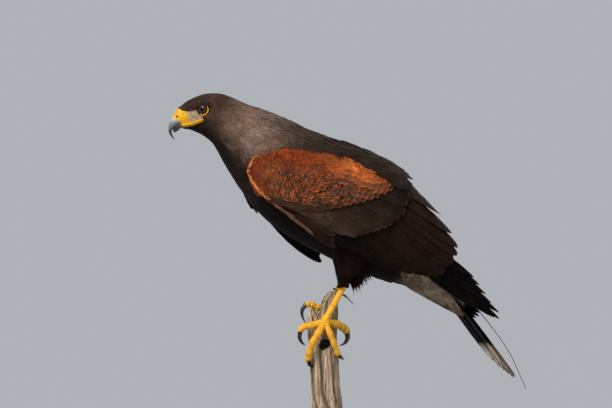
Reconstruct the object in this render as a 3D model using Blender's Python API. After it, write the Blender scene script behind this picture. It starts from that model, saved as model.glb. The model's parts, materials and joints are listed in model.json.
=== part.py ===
"""A Harris hawk gripping a weathered snag, life size, with a plain display stand.

Lengths are written in millimetres and turned to metres when a mesh is made. The bird faces -X, its left
side is -Y and up is +Z. The origin is the middle of the underside of the stand's base.
"""

import math

import bmesh
import bpy
import numpy as np

MM = 0.001
GAP = 0.3
LEFT, RIGHT = -1, 1
SIDE_NAMES = {LEFT: "left", RIGHT: "right"}

# The trunk, neck and head are one loft. Each section runs from a point (x, z) on the back to one on the
# belly, and has a half width.
BODY_SECTIONS = {
    "tail root": ((117, 243), (93, 196), 24),
    "rump": ((108, 280), (72, 199), 34),
    "loin": ((92, 316), (44, 209), 45),
    "lower back": ((65, 344), (10, 223), 53),
    "mid back": ((32, 361), (-26, 240), 57),
    "shoulders": ((-1, 373), (-58, 259), 57),
    "breast": ((-24, 381), (-84, 281), 53),
    "neck base": ((-43, 390), (-104, 306), 46),
    "low neck": ((-60, 397), (-114, 321), 40),
    "mid neck": ((-77, 403), (-123, 336), 35),
    "high neck": ((-96, 409), (-131, 351), 31),
    "nape": ((-113, 417), (-138, 362), 28),
    "back of skull": ((-128, 422), (-149, 371), 25.5),
    "eye": ((-145, 422), (-159, 376), 22.5),
    "lores": ((-158, 418), (-166, 378.5), 17.5),
    "forehead": ((-169, 412.5), (-171.5, 379), 12.8),
    "cere": ((-177.5, 406), (-175, 380.5), 9),
}
SECTION_NAMES = list(BODY_SECTIONS)
TRUNK_AROUND, BELLY_FULL = 26, 0.05
# The room that a wing or a thigh leaves for the body under it is a coarser and slightly larger copy.
FLESH_AROUND, FLESH_ROOM = 18, 2.4
HEAD_TURN = math.radians(-12)
TURN_PIVOT = -80
TURN_FIRST, TURN_LAST = "neck base", "nape"

EYE_PLACE, EYE_SINK = (-147.1, 400.2), 3.3
EYE_RADIUS = 7.4
EYE_FORWARD, EYE_DOWN = 0.33, 0.06
LID_RING, LID_THICK, LID_OUT = 6.9, 1.2, 3.7
LID_AROUND = 16
BROW_FRONT, BROW_BACK = (-161, 406.2), (-138.5, 408.6)
BROW_REACH, BROW_HEIGHT, BROW_WIDTH, BROW_SINK = 0.62, 2.6, 4.2, 1.4
MOUTH_CORNER, MOUTH_FRONT = (-147.2, 387.6), (-178, 382.2)
MOUTH_HEIGHT, MOUTH_DEPTH, MOUTH_SAG = 0.9, 1.6, 1.6
NOSTRIL, NOSTRIL_RADII = (-179.6, 8.9, 393.2), (1.7, 1.3, 1.3)

UPPER_BILL = [
    ((-177.7, 405.4), (-175.6, 383.6), 9.2),
    ((-181.8, 400.7), (-179.0, 382.6), 8.3),
    ((-185.7, 393.0), (-182.0, 381.2), 6.9),
    ((-189.4, 386.7), (-184.8, 379.2), 5.3),
    ((-190.8, 378.9), (-186.6, 376.2), 3.5),
    ((-188.8, 372.1), (-185.8, 372.2), 2.0),
    ((-183.7, 366.7), (-182.9, 367.4), 0.5),
]
LOWER_BILL = [
    ((-176.3, 386.0), (-175.6, 380.0), 7.6),
    ((-179.6, 385.0), (-178.6, 377.3), 6.4),
    ((-182.6, 383.0), (-182.4, 375.3), 4.4),
    ((-184.6, 379.5), (-184.6, 375.2), 1.8),
]
CERE_EDGE_TOP, CERE_EDGE_LOW = (-186.0, 393.2), (-173.0, 385.0)

# The folded wing lies on a surface whose cross-sections are half ellipses. Along the wing runs from the
# wrist to the tip, and up is square to it in side view.
WRIST = {LEFT: (-104.7, 321.5), RIGHT: (-93.5, 317.5)}
WING_SLOPE = {LEFT: math.radians(30), RIGHT: math.radians(31.5)}
# Rows of: along, height of the middle, reach up, reach down, half width of the bird.
WING_SHAPE = [
    (-10, 20, 60, 60, 48),
    (0, 22, 62, 62, 54),
    (50, 25, 66, 75, 64),
    (100, 27, 79, 85, 68),
    (150, 28, 84, 85, 67),
    (200, 30, 73, 70, 59),
    (240, 29, 58, 57, 49),
    (265, 27, 50, 48, 42),
    (285, 24, 43, 40, 36),
    (320, 20, 30, 30, 26),
    (360, 14, 20, 20, 18),
]
# Rows of: along, lower edge, upper edge of the wing's core.
WING_OUTLINE = [
    (-4.5, 9, 18),
    (5, -4, 37),
    (25, -13, 58),
    (50, -17.5, 66),
    (75, -21, 84),
    (105, -20, 100),
    (126, -14, 104),
    (142, -4, 106),
    (165, -2, 108),
    (200, 4, 98),
    (232, 10, 82),
]
WING_THICK = [(-5, 8), (40, 15), (150, 18), (200, 17), (232, 14)]
WING_STATIONS = (-4, 3, 14, 30, 52, 76, 104, 126, 150, 178, 206, 232)
# The core is bare in front of a slanting line, and sinks behind it to make room for the long feathers.
BARE_EDGE, BARE_SLANT, BARE_FADE = 62, 1.35, 26
CORE_DROP, CORE_SINK, RIM_DROP = 0.6, 6.2, 0.25

# Long feathers lie like tiles, each with its lower edge over the next one down.
VANE_THICK, VANE_GAP = 0.8, 0.6
VANE_CURVE = 60
MIN_PITCH = 4.5
VANE_SHARES, VANE_WIDTHS = (0, 0.3, 0.7, 0.88, 1), (0.55, 0.85, 1, 0.8, 0.28)
LONG_STATIONS, SHORT_STATIONS = (0, 0.35, 0.68, 0.88, 1), (0, 0.5, 0.85, 1)
# Rows of: share of the row from its lowest feather to its highest, root and tip as along and height.
SECONDARIES = [
    (0.0, 70, -6, 163, -10),
    (0.22, 92, 4, 203, -8),
    (0.42, 108, 18, 240, 4),
    (0.56, 118, 32, 260, 15),
    (0.7, 126, 48, 267, 33),
    (0.82, 130, 62, 270, 53),
    (0.92, 132, 76, 258, 71),
    (1.0, 130, 90, 232, 88),
]
SECONDARY_COUNT, SECONDARY_WIDTH, SECONDARY_LIFT = 10, 21, (-9.5, -5.0, -3.4)
GREATER_COVERTS = [
    (0.0, 45, -4, 100, 1),
    (0.2, 70, 6, 135, -2),
    (0.45, 86, 20, 160, 15),
    (0.7, 104, 38, 176, 36),
    (0.85, 116, 54, 184, 56),
    (1.0, 120, 74, 182, 80),
]
GREATER_COUNT, GREATER_WIDTH, GREATER_LIFT = 7, 22, (-6.5, -2.2, -1.6)
HAND_COVERTS = [(0.0, 62, -12, 133, -24), (1.0, 74, -3, 124, -10)]
HAND_COUNT, HAND_WIDTH, HAND_LIFT = 2, 13, (-6, -2.6, -2.2)
# The far wing's bend hangs a little lower than the near one's.
HAND_DROP, HAND_DROP_END = {LEFT: 0, RIGHT: 9}, 165
PRIMARIES = [
    (0.0, 196, 8, 318, 1),
    (0.2, 200, 12, 344, 7),
    (0.4, 203, 17, 358, 14),
    (0.6, 205, 23, 342, 25),
    (0.8, 207, 30, 324, 34),
    (1.0, 209, 38, 303, 42),
]
PRIMARY_COUNT, PRIMARY_WIDTH, PRIMARY_LIFT = 6, 15, (-12, -9.5, -5)

TAIL_ROOT = (108, 249)
TAIL_SLOPE = math.radians(52)
TAIL_LENGTH = 208
TAIL_ARCH = 0.0035
# Rows of: along, half width, thickness.
TAIL_CORE = [(34, 14, 18), (60, 15, 15), (85, 15, 9.5), (98, 14, 6)]
TAIL_ROOM = [(34, 17, 18), (60, 22, 16), (90, 25, 12), (120, 26, 11), (150, 27, 11)]
TAIL_PAIRS = 5
TAIL_PITCH = (1.8, 2.7)
TAIL_VANE_WIDTH, TAIL_VANE_STEP = 19.5, 1.15
TAIL_VANE_START, TAIL_STEP_BACK = 45, 1.6

# Sections of the feathers round the tail's root, written as the body's are.
TAIL_COVERTS = [
    ((117, 243), (93, 196), 24),
    ((128, 227), (104, 189.5), 23),
    ((141, 211), (122, 180), 21),
    ((156, 194), (142, 169.5), 16),
    ((171, 175), (164, 158), 8),
]
COVERT_CORE_END = 3.3
# Turn from the underside in degrees, and root and tip as positions along the sections.
COVERT_VANES = [(20, 0.8, 3.95), (50, 0.7, 3.7), (86, 0.9, 3.5)]
COVERT_WIDTH, COVERT_LIFT, COVERT_TILT = 15, (-2.5, 1.0, 1.6), 0.1

THIGH = [
    ((31, 26, 268), 28, 15.5),
    ((27, 27, 242), 26, 16.5),
    ((25, 27, 226), 20, 16),
    ((21.5, 24, 210), 12.5, 12),
    ((18, 20, 198), 7.5, 8),
    ((17, 17.5, 190), 5.6, 5.6),
]
THIGH_SHIFT = {LEFT: (0, 0), RIGHT: (8.5, 3)}
# Loose feathers behind the far leg, from root to tip.
THIGH_FRINGE = [((36, 27, 238), (48, 25, 198)), ((31, 27, 232), (42, 25, 195))]
FRINGE_WIDTH = 12

HOCK = {LEFT: (17.6, -16, 190), RIGHT: (22.5, 16.5, 194)}
FOOT = {LEFT: (-4.8, -14, 149), RIGHT: (3.5, 17.5, 167)}
TARSUS_RADIUS = (4.1, 3.6, 3.8, 5.3)

# Each toe is a path of (x, y, z) from the foot to the last joint, then the claw's path to its tip.
TOES = {
    (LEFT, "inner"): (
        [(-8, -14, 147), (-19, -10.5, 144.5), (-27, -6.5, 143), (-31.5, -4, 139.5)],
        [(-32.2, -3.6, 136.8), (-33, -3, 130), (-30, -2.5, 124), (-25.5, -2, 120.5)],
        3.9,
    ),
    (LEFT, "middle"): (
        [(-7, -18, 144), (-14, -22, 135), (-20.5, -21, 124), (-24, -17, 112), (-24.5, -13.5, 105)],
        [(-24, -12.5, 103), (-22, -9.5, 98), (-18, -7, 95.5), (-14, -5.5, 94.5)],
        4.0,
    ),
    (LEFT, "outer"): (
        [(-2.5, -19, 143.5), (0, -22.5, 134), (5, -21.5, 122), (10, -17.5, 111.5)],
        [(11.5, -16.5, 109), (15, -13.5, 106.5), (18, -10, 105), (20.5, -7, 103)],
        3.5,
    ),
    (LEFT, "hind"): (
        [(1, -13, 147), (11, -9, 145.5), (19, -5, 142.5), (24, -2, 138.5)],
        [(25.3, -1.2, 136), (26.5, 0, 130), (23.5, 0.5, 124), (16.5, 1, 120)],
        4.7,
    ),
    (RIGHT, "inner"): (
        [(-1, 15, 164), (-8, 11, 166), (-15.5, 9, 169.5), (-21.5, 8, 169.5)],
        [(-23.5, 7.8, 169), (-27.5, 7.5, 163), (-27.5, 7, 155.5), (-23.5, 6.5, 147)],
        3.8,
    ),
    (RIGHT, "middle"): (
        [(-1, 18, 165), (-6, 19.5, 166), (-10.5, 18, 161.5), (-13, 14.5, 154.5)],
        [(-13.2, 13.3, 152.2), (-13, 10.5, 147), (-11, 7.5, 143.5), (-8, 5.5, 142)],
        3.9,
    ),
    (RIGHT, "outer"): (
        [(2.5, 21, 163), (-1, 25.5, 156), (-4, 26, 146), (-6, 22.5, 137)],
        [(-6.3, 21.5, 135), (-6.5, 18, 130.5), (-6, 14.5, 128.5), (-5.5, 11, 127.5)],
        3.6,
    ),
    (RIGHT, "hind"): (
        [(6, 19.5, 166), (9.5, 20.5, 167), (12, 18, 167), (13, 14.5, 165)],
        [(13, 13.3, 163), (12.8, 12.2, 158), (11, 11.4, 154.5), (8, 11, 153)],
        3.9,
    ),
}

CLAW_TAPER = (1.0, 0.93, 0.82, 0.66, 0.4, 0.1)
CLAW_SHARE, TOE_TAPER = 0.76, (1.08, 0.9)
TOE_SWELL, TOE_ROOT = 0.07, 0.3
ANKLE_LENGTH, HOCK_LENGTH = 9, 2
GRIP_GAP = 0.4
PALM_LENGTH, PALM_SWELL = 3.5, (1, 1.1, 1.15, 0.8)

# Rows of: height, middle x, middle y, reach in x, reach in y.
PERCH_WOOD = {
    "stem": [
        (40, 1.6, 0, 18.4, 17.5),
        (62, 0.3, 0, 17.4, 17),
        (85, -1.6, 0, 17.2, 16.5),
        (108, -2.6, 0, 17.4, 16.2),
        (120, -3.2, 0, 16.6, 15.4),
        (131, -3.4, 1, 14.5, 12.5),
    ],
    "shard": [
        (110, -6, 4, 11, 9),
        (138, -10.5, 5.5, 11, 7),
        (153, -13, 6, 8.5, 5),
        (162.5, -14.5, 6, 5, 2.6),
    ],
    "spike": [
        (110, 3, 4, 11, 10),
        (135, 3.7, 3, 10.3, 8.5),
        (155, 4, 2, 11, 7),
        (170, 4.4, 1.5, 10.3, 5.5),
        (178, 5.8, 1.5, 8.4, 4),
        (184, 8.2, 1.5, 5, 2.6),
    ],
}
PERCH_BOTTOM = PERCH_WOOD["stem"][0][0]
PERCH_AROUND = 22
# The wood's grooves are parts of its radius, and its broken ends are ragged and a little hollow.
WOOD_FLUTE, WOOD_UNEVEN = 0.07, 0.018
SPLINTER, HOLLOW, HOLLOW_SHARE = 1.4, 2.5, 0.4
ROD_X, ROD_RADIUS = 1.5, 6
BASE_RADIUS, BASE_HEIGHT, BASE_BEVEL = 95, 14, 2.5

TAG_SIZE = (12, 7, 5)
TAG_CENTRE = (155.5, 0, 202)
ANTENNA_RADIUS = 0.6
ANTENNA_PATH = [(183, 171), (207, 143), (230, 110), (249, 69)]
TIE_DROP, TIE_RADIUS, TIE_THICK = 9, 5.6, 0.8
TIE_TIPS = [(30, 14, 178), (37, 16, 171)]


def material(name, colour, roughness, metallic=0.0):
    """A plain surface with the part's colour, roughness and metal value."""
    made = bpy.data.materials.new(name)
    made.use_nodes = True
    shader = made.node_tree.nodes["Principled BSDF"]
    shader.inputs["Base Color"].default_value = (*colour, 1)
    shader.inputs["Roughness"].default_value = roughness
    shader.inputs["Metallic"].default_value = metallic
    made.diffuse_color = (*colour, 1)
    return made


def clear_scene():
    for obj in list(bpy.data.objects):
        bpy.data.objects.remove(obj)


def smooth(rows, at):
    """Values of a smooth curve through rows of (position, value, ...) at one position or several."""
    rows = np.array(rows, float)
    x, y = rows[:, 0], rows[:, 1:]
    slope = np.gradient(y, x, axis=0)
    at = np.clip(np.atleast_1d(np.asarray(at, float)), x[0], x[-1])
    i = np.clip(np.searchsorted(x, at, side="right") - 1, 0, len(x) - 2)
    h = (x[i + 1] - x[i])[:, None]
    t = ((at - x[i]) / (x[i + 1] - x[i]))[:, None]
    return (
        (2 * t**3 - 3 * t**2 + 1) * y[i]
        + (t**3 - 2 * t**2 + t) * h * slope[i]
        + (3 * t**2 - 2 * t**3) * y[i + 1]
        + (t**3 - t**2) * h * slope[i + 1]
    )


def unit(vector):
    vector = np.asarray(vector, float)
    return vector / np.linalg.norm(vector)


def new_object(name, points, faces, surface=None):
    """A mesh object from points in millimetres."""
    mesh = bpy.data.meshes.new(name)
    mesh.from_pydata([tuple(p * MM) for p in np.asarray(points, float)], [], faces)
    mesh.validate()
    mesh.update()
    obj = bpy.data.objects.new(name, mesh)
    bpy.context.scene.collection.objects.link(obj)
    if surface is not None:
        mesh.materials.append(surface)
    return obj


def make_solid(name, rings, surface=None):
    """A closed mesh through rings of equally many points, with a flat cap at each end."""
    count = len(rings[0])
    points = np.concatenate(rings)
    faces = []
    for i in range(len(rings) - 1):
        for j in range(count):
            k = (j + 1) % count
            a, b = i * count + j, i * count + k
            c, d = a + count, b + count
            faces += [(a, b, d), (a, d, c)]
    faces.append(tuple(reversed(range(count))))
    faces.append(tuple(range((len(rings) - 1) * count, len(points))))
    obj = new_object(name, points, faces, surface)
    face_outwards(obj)
    return obj


def face_outwards(obj):
    """Turns the faces of a closed mesh round if they point inwards."""
    mesh = obj.data
    mesh.calc_loop_triangles()
    points = np.array([v.co for v in mesh.vertices])
    corners = points[np.array([t.vertices for t in mesh.loop_triangles])]
    if np.linalg.det(corners).sum() < 0:
        mesh.flip_normals()


def body_ring(position, grow=0.0, around=TRUNK_AROUND):
    """The body's ring at a position counted in sections, before the head is turned."""
    rows = [(i, *s[0], *s[1], s[2]) for i, s in enumerate(BODY_SECTIONS.values())]
    bx, bz, vx, vz, half_width = smooth(rows, position)[0]
    middle = np.array([(bx + vx) / 2, 0, (bz + vz) / 2])
    up = np.array([bx - vx, 0, bz - vz]) / 2
    half_height = np.linalg.norm(up)
    up = up / half_height
    angles = np.linspace(0, 2 * math.pi, around, endpoint=False)
    rise = np.cos(angles) * (half_height + grow)
    reach = np.sin(angles) * (half_width + grow)
    # The breast and belly are a little fuller than the back.
    reach *= 1 + BELLY_FULL * np.sin(np.pi * np.clip(-np.cos(angles), 0, 1))
    return middle + rise[:, None] * up + reach[:, None] * np.array([0, 1, 0])


def turn_head(points, share=1.0):
    """Turns points round an upright line through the neck by a share of the head's turn."""
    points = np.array(points, float)
    c, s = math.cos(HEAD_TURN * share), math.sin(HEAD_TURN * share)
    ahead, side = points[:, 0] - TURN_PIVOT, points[:, 1]
    turned = points.copy()
    turned[:, 0] = TURN_PIVOT + ahead * c - side * s
    turned[:, 1] = ahead * s + side * c
    return turned


def turn_share(position):
    """How much of the head's turn a position along the body has taken."""
    first, last = SECTION_NAMES.index(TURN_FIRST), SECTION_NAMES.index(TURN_LAST)
    t = min(max((position - first) / (last - first), 0), 1)
    return t * t * (3 - 2 * t)


def body_part(name, first, last, surface=None, grow=0.0, step=0.5, around=TRUNK_AROUND):
    """A length of the body between two named sections, parted from its neighbours by half a gap."""
    start, end = SECTION_NAMES.index(first), SECTION_NAMES.index(last)
    positions = np.linspace(start, end, int(round((end - start) / step)) + 1)
    rings = [body_ring(p, grow, around) for p in positions]
    for here, inward in ((0, 1), (-1, -2)):
        middle, across = rings[here].mean(axis=0), rings[here][0] - rings[here].mean(axis=0)
        square = unit(np.cross(across, (0, 1, 0)))
        toward = rings[inward].mean(axis=0) - middle
        rings[here] = rings[here] + square * math.copysign(GAP / 2, square @ toward)
    turned = [turn_head(r, turn_share(p)) for r, p in zip(rings, positions)]
    return make_solid(name, turned, surface)


def tube_rings(path, radii, around, flatten=1.0, start_up=(0, 0, 1)):
    """Rings round a smooth path, with a radius at each of its points."""
    path = np.array(path, float)
    tangents = np.gradient(path, axis=0)
    up = np.array(start_up, float)
    rings = []
    for middle, tangent, radius in zip(path, tangents, radii):
        tangent = unit(tangent)
        side = unit(np.cross(tangent, up))
        up = unit(np.cross(side, tangent))
        angles = np.linspace(0, 2 * math.pi, around, endpoint=False)
        rings.append(
            middle
            + np.outer(np.cos(angles) * radius, side)
            + np.outer(np.sin(angles) * radius * flatten, up)
        )
    return rings


def refine(path, count):
    """A smooth path of count points through the points of a short one."""
    rows = [(i, *p) for i, p in enumerate(path)]
    return smooth(rows, np.linspace(0, len(path) - 1, count))


def ball(name, centre, radii, around=16, rows=8, surface=None, axes=None):
    """A closed ellipsoid, with its own axes when it is turned."""
    axes = np.eye(3) if axes is None else np.array(axes, float)
    rings = []
    for v in np.linspace(0, math.pi, rows + 1)[1:-1]:
        angles = np.linspace(0, 2 * math.pi, around, endpoint=False)
        local = np.stack(
            [
                np.cos(angles) * math.sin(v) * radii[0],
                np.sin(angles) * math.sin(v) * radii[1],
                np.full(around, math.cos(v) * radii[2]),
            ],
            axis=1,
        )
        rings.append(np.array(centre) + local @ axes)
    count = around
    pole = np.array([0, 0, radii[2]]) @ axes
    points = np.concatenate([*rings, [np.array(centre) + pole, np.array(centre) - pole]])
    top, bottom = len(points) - 2, len(points) - 1
    faces = []
    for i in range(len(rings) - 1):
        for j in range(count):
            k = (j + 1) % count
            faces.append((i * count + j, i * count + k, (i + 1) * count + k, (i + 1) * count + j))
    last = (len(rings) - 1) * count
    for j in range(count):
        k = (j + 1) % count
        faces.append((top, k, j))
        faces.append((bottom, last + j, last + k))
    obj = new_object(name, points, faces, surface)
    face_outwards(obj)
    return obj


def apply_modifiers(obj):
    graph = bpy.context.evaluated_depsgraph_get()
    mesh = bpy.data.meshes.new_from_object(obj.evaluated_get(graph))
    obj.modifiers.clear()
    obj.data = mesh


def combine(obj, others, operation, solver="MANIFOLD"):
    """Joins closed pieces to an object, or cuts them from it, and removes them."""
    group = bpy.data.collections.new("pieces")
    bpy.context.scene.collection.children.link(group)
    for other in others:
        for home in list(other.users_collection):
            home.objects.unlink(other)
        group.objects.link(other)
    boolean = obj.modifiers.new("pieces", "BOOLEAN")
    boolean.operation = operation
    boolean.solver = solver
    boolean.operand_type = "COLLECTION"
    boolean.collection = group
    apply_modifiers(obj)
    for other in others:
        bpy.data.objects.remove(other)
    bpy.data.collections.remove(group)
    keep_largest(obj)


def keep_largest(obj):
    """Keeps the largest closed surface of a mesh, and drops loose scraps and sealed hollows."""
    mesh = obj.data
    parent = list(range(len(mesh.vertices)))

    def root(i):
        while parent[i] != i:
            parent[i] = parent[parent[i]]
            i = parent[i]
        return i

    for edge in mesh.edges:
        a, b = (root(v) for v in edge.vertices)
        parent[a] = b
    mesh.calc_loop_triangles()
    points = np.array([v.co for v in mesh.vertices])
    volumes = {}
    for triangle in mesh.loop_triangles:
        corners = points[list(triangle.vertices)]
        shell = root(triangle.vertices[0])
        volumes[shell] = volumes.get(shell, 0.0) + np.linalg.det(corners)
    if len(volumes) < 2:
        return
    largest = max(volumes, key=lambda shell: volumes[shell])
    kept = [p for p in mesh.polygons if root(p.vertices[0]) == largest]
    used = sorted({v for p in kept for v in p.vertices})
    new_index = {v: i for i, v in enumerate(used)}
    faces = [tuple(new_index[v] for v in p.vertices) for p in kept]
    coordinates = [mesh.vertices[v].co.copy() for v in used]
    materials = list(mesh.materials)
    fresh = bpy.data.meshes.new(obj.name)
    fresh.from_pydata(coordinates, [], faces)
    fresh.update()
    for surface in materials:
        fresh.materials.append(surface)
    obj.data = fresh


def bisected(obj, point, normal, name):
    """Keeps the part of an object behind a plane, closed with a flat cap."""
    work = bmesh.new()
    work.from_mesh(obj.data)
    geometry = work.verts[:] + work.edges[:] + work.faces[:]
    cut = bmesh.ops.bisect_plane(
        work,
        geom=geometry,
        plane_co=np.array(point) * MM,
        plane_no=normal,
        clear_outer=True,
        clear_inner=False,
    )
    edges = [e for e in cut["geom_cut"] if isinstance(e, bmesh.types.BMEdge)]
    bmesh.ops.edgeloop_fill(work, edges=edges)
    bmesh.ops.recalc_face_normals(work, faces=work.faces)
    mesh = bpy.data.meshes.new(name)
    work.to_mesh(mesh)
    work.free()
    for surface in obj.data.materials:
        mesh.materials.append(surface)
    made = bpy.data.objects.new(name, mesh)
    bpy.context.scene.collection.objects.link(made)
    return made


def eye_axis(side):
    """The direction an eye looks in, before the head is turned."""
    return unit((-EYE_FORWARD, side, -EYE_DOWN))


def head_place(point, side=1):
    """A point on the head after the neck is turned."""
    return turn_head([(point[0], point[1] * side, point[2])])[0]


def eye_centre(side):
    """The middle of an eye, sunk into the side of the head."""
    x, z = EYE_PLACE
    return head_place((x, head_half_width(x, z) - EYE_SINK, z), side)


def head_direction(direction):
    """A direction on the head after the neck is turned."""
    c, s = math.cos(HEAD_TURN), math.sin(HEAD_TURN)
    x, y, z = direction
    return np.array([x * c - y * s, x * s + y * c, z])


def build_head(surface):
    """The head with a brow, a ring of lids and a socket for each eye, and the line of the mouth."""
    head = body_part("head", "nape", "cere", surface, step=0.4)
    added, cuts = [], []
    for side in (LEFT, RIGHT):
        centre = eye_centre(side)
        axis = head_direction(eye_axis(side))
        front, back = (
            head_place((x, head_half_width(x, z) - BROW_SINK, z), side)
            for x, z in (BROW_FRONT, BROW_BACK)
        )
        along = unit(back - front)
        out = unit(np.cross(along, (0, 0, 1)) * -side)
        axes = (along, out, unit(np.cross(out, along)))
        radii = (np.linalg.norm(back - front) * BROW_REACH, BROW_WIDTH, BROW_HEIGHT)
        added.append(ball("brow", (front + back) / 2, radii, around=12, rows=6, axes=axes))
        across = unit(np.cross(axis, (0, 0, 1)))
        above = unit(np.cross(across, axis))
        turns = np.linspace(0, 2 * math.pi, LID_AROUND + 1)[:-1]
        ring = centre + axis * LID_OUT + LID_RING * (
            np.outer(np.cos(turns), across) + np.outer(np.sin(turns), above)
        )
        added.append(closed_ring("lid", ring, axis, centre + axis * LID_OUT, LID_THICK, around=6))
        cuts.append(ball("socket", centre, [EYE_RADIUS + GAP] * 3, around=16, rows=8))
        cuts.append(mouth_groove(side))
    combine(head, added, "UNION")
    combine(head, cuts, "DIFFERENCE")
    return head


def closed_ring(name, path, axis, centre, radius, around=8):
    """A ring of round section, such as a lid."""
    points, faces = [], []
    turns = np.linspace(0, 2 * math.pi, around, endpoint=False)
    for p in path:
        out = unit(p - centre)
        points += [p + radius * (math.cos(t) * out + math.sin(t) * np.array(axis)) for t in turns]
    count = len(path)
    for i in range(count):
        for j in range(around):
            k, n = (j + 1) % around, (i + 1) % count
            faces.append((i * around + j, n * around + j, n * around + k, i * around + k))
    obj = new_object(name, points, faces)
    face_outwards(obj)
    return obj


def mouth_groove(side):
    """A thin wedge that cuts the line of the mouth into the side of the face."""
    corner, front = np.array(MOUTH_CORNER), np.array(MOUTH_FRONT)
    rings = []
    for t in np.linspace(0, 1, 6):
        x, z = corner + (front - corner) * t
        z -= MOUTH_SAG * math.sin(math.pi * t)
        surface_y = head_half_width(x, z)
        tall = MOUTH_HEIGHT * (0.4 + 0.6 * t)
        outer, inner = surface_y + 3, surface_y - MOUTH_DEPTH
        ring = [(x, outer, z + tall), (x, outer, z - tall), (x, inner, z - 0.15), (x, inner, z + 0.15)]
        rings.append(turn_head([(px, py * side, pz) for px, py, pz in ring]))
    return make_solid("mouth line", rings)


def head_half_width(x, z):
    """How far out the side of the head is at a place in side view, before the head is turned."""
    best, found = None, 0.0
    for position in np.linspace(10, len(SECTION_NAMES) - 1, 60):
        ring = body_ring(position)
        top, bottom = ring[0], ring[TRUNK_AROUND // 2]
        up = top - bottom
        height = np.linalg.norm(up)
        share = ((x - bottom[0]) * up[0] + (z - bottom[2]) * up[2]) / height**2
        foot = bottom + up * share
        off = math.hypot(x - foot[0], z - foot[2])
        if 0 < share < 1 and (best is None or off < best):
            best = off
            half = ring[:, 1].max()
            found = half * math.sqrt(1 - (2 * share - 1) ** 2)
    return found


def section_ring(top, bottom, half_width, around):
    """An upright egg-shaped ring from its top and bottom points in side view."""
    top, bottom = np.array(top, float), np.array(bottom, float)
    middle, up = (top + bottom) / 2, (top - bottom) / 2
    angles = np.linspace(0, 2 * math.pi, around, endpoint=False)
    ring = [
        (middle[0] + up[0] * math.cos(a), half_width * math.sin(a), middle[1] + up[1] * math.cos(a))
        for a in angles
    ]
    return turn_head(ring)


def bill_solid(name, sections, count, around, surface=None, grow=0.0):
    rows = [(i, *s[0], *s[1], s[2] + grow) for i, s in enumerate(sections)]
    values = smooth(rows, np.linspace(0, len(sections) - 1, count))
    rings = []
    for top_x, top_z, low_x, low_z, half_width in values:
        out = grow * unit((top_x - low_x, top_z - low_z))
        top, low = (top_x, top_z) + out, (low_x, low_z) - out
        rings.append(section_ring(top, low, half_width, around))
    return make_solid(name, rings, surface)


def build_bill(horn, cere_skin):
    """The upper bill and the fleshy cere are one curve, parted by a plane. The lower bill closes into it."""
    whole = bill_solid("bill whole", UPPER_BILL, 16, 16, horn)
    top, low = (head_place((x, 0, z)) for x, z in (CERE_EDGE_TOP, CERE_EDGE_LOW))
    along = unit(low - top)
    forward = unit(np.cross(along, head_direction((0, 1, 0))))
    if forward[0] > 0:
        forward = -forward
    cere = bisected(whole, top - forward * GAP / 2, forward, "cere")
    bill = bisected(whole, top + forward * GAP / 2, -forward, "bill_upper")
    cere.data.materials.clear()
    cere.data.materials.append(cere_skin)
    bpy.data.objects.remove(whole)
    pits = []
    for side in (LEFT, RIGHT):
        pits.append(ball("nostril", head_place(NOSTRIL, side), NOSTRIL_RADII, around=10, rows=6))
    combine(cere, pits, "DIFFERENCE")
    lower = bill_solid("bill_lower", LOWER_BILL, 8, 14, horn)
    room = bill_solid("bill room", UPPER_BILL, 16, 16, grow=GAP)
    combine(lower, [room], "DIFFERENCE", solver="EXACT")


def build_eyes(surface):
    for side in (LEFT, RIGHT):
        ball(
            f"eye_{SIDE_NAMES[side]}", eye_centre(side), [EYE_RADIUS] * 3,
            around=16, rows=8, surface=surface,
        )


def wing_place(along, height, out, side):
    """A point in the bird's frame from a place on the folded wing."""
    wrist, slope = WRIST[side], WING_SLOPE[side]
    x = wrist[0] + along * math.cos(slope) + height * math.sin(slope)
    z = wrist[1] - along * math.sin(slope) + height * math.cos(slope)
    return np.array([x, side * out, z])


def wing_surface(along, turn, lift, side):
    """A point on the wing's outer surface. Turn is 0 at the widest place and a right angle on the back."""
    middle, up, down, half = smooth(WING_SHAPE, along)[0]
    reach = up if turn >= 0 else down
    height, out = middle + reach * math.sin(turn), half * math.cos(turn)
    normal = unit((math.sin(turn) / reach, math.cos(turn) / half))
    return wing_place(along, height + lift * normal[0], out + lift * normal[1], side)


def wing_turn(along, height):
    """The turn on the wing's surface that has this height in side view."""
    middle, up, down, _ = smooth(WING_SHAPE, along)[0]
    reach = up if height >= middle else down
    return math.asin(max(-0.99, min(0.99, (height - middle) / reach)))


def core_drop(along, height):
    """How far the core lies below the wing's outer surface."""
    edge = BARE_EDGE + BARE_SLANT * max(height, 0)
    t = min(max((along - edge) / BARE_FADE, 0), 1)
    return CORE_DROP + CORE_SINK * t * t * (3 - 2 * t)


def hand_drop(along, side):
    """How far the wing's lower edge is let down near its bend."""
    return HAND_DROP[side] * math.sin(math.pi * min(max(along / HAND_DROP_END, 0), 1))


def wing_core(name, side, surface):
    """The smooth mass of the folded wing between its outer surface and the flank."""
    rings = []
    for along in WING_STATIONS:
        low, high = smooth(WING_OUTLINE, along)[0]
        low -= hand_drop(along, side)
        thick = smooth(WING_THICK, along)[0][0]
        turns = np.linspace(wing_turn(along, low), wing_turn(along, high), 9)
        heights = np.linspace(low, high, 9)
        rim = RIM_DROP * thick * np.linspace(-1, 1, 9) ** 6
        drops = [core_drop(along, h) + r for h, r in zip(heights, rim)]
        outer = [wing_surface(along, t, -d, side) for t, d in zip(turns, drops)]
        inner = [wing_surface(along, turns[j], -thick, side) for j in (8, 4, 0)]
        rings.append(np.array(outer + inner))
    return make_solid(name, rings, surface)


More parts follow.
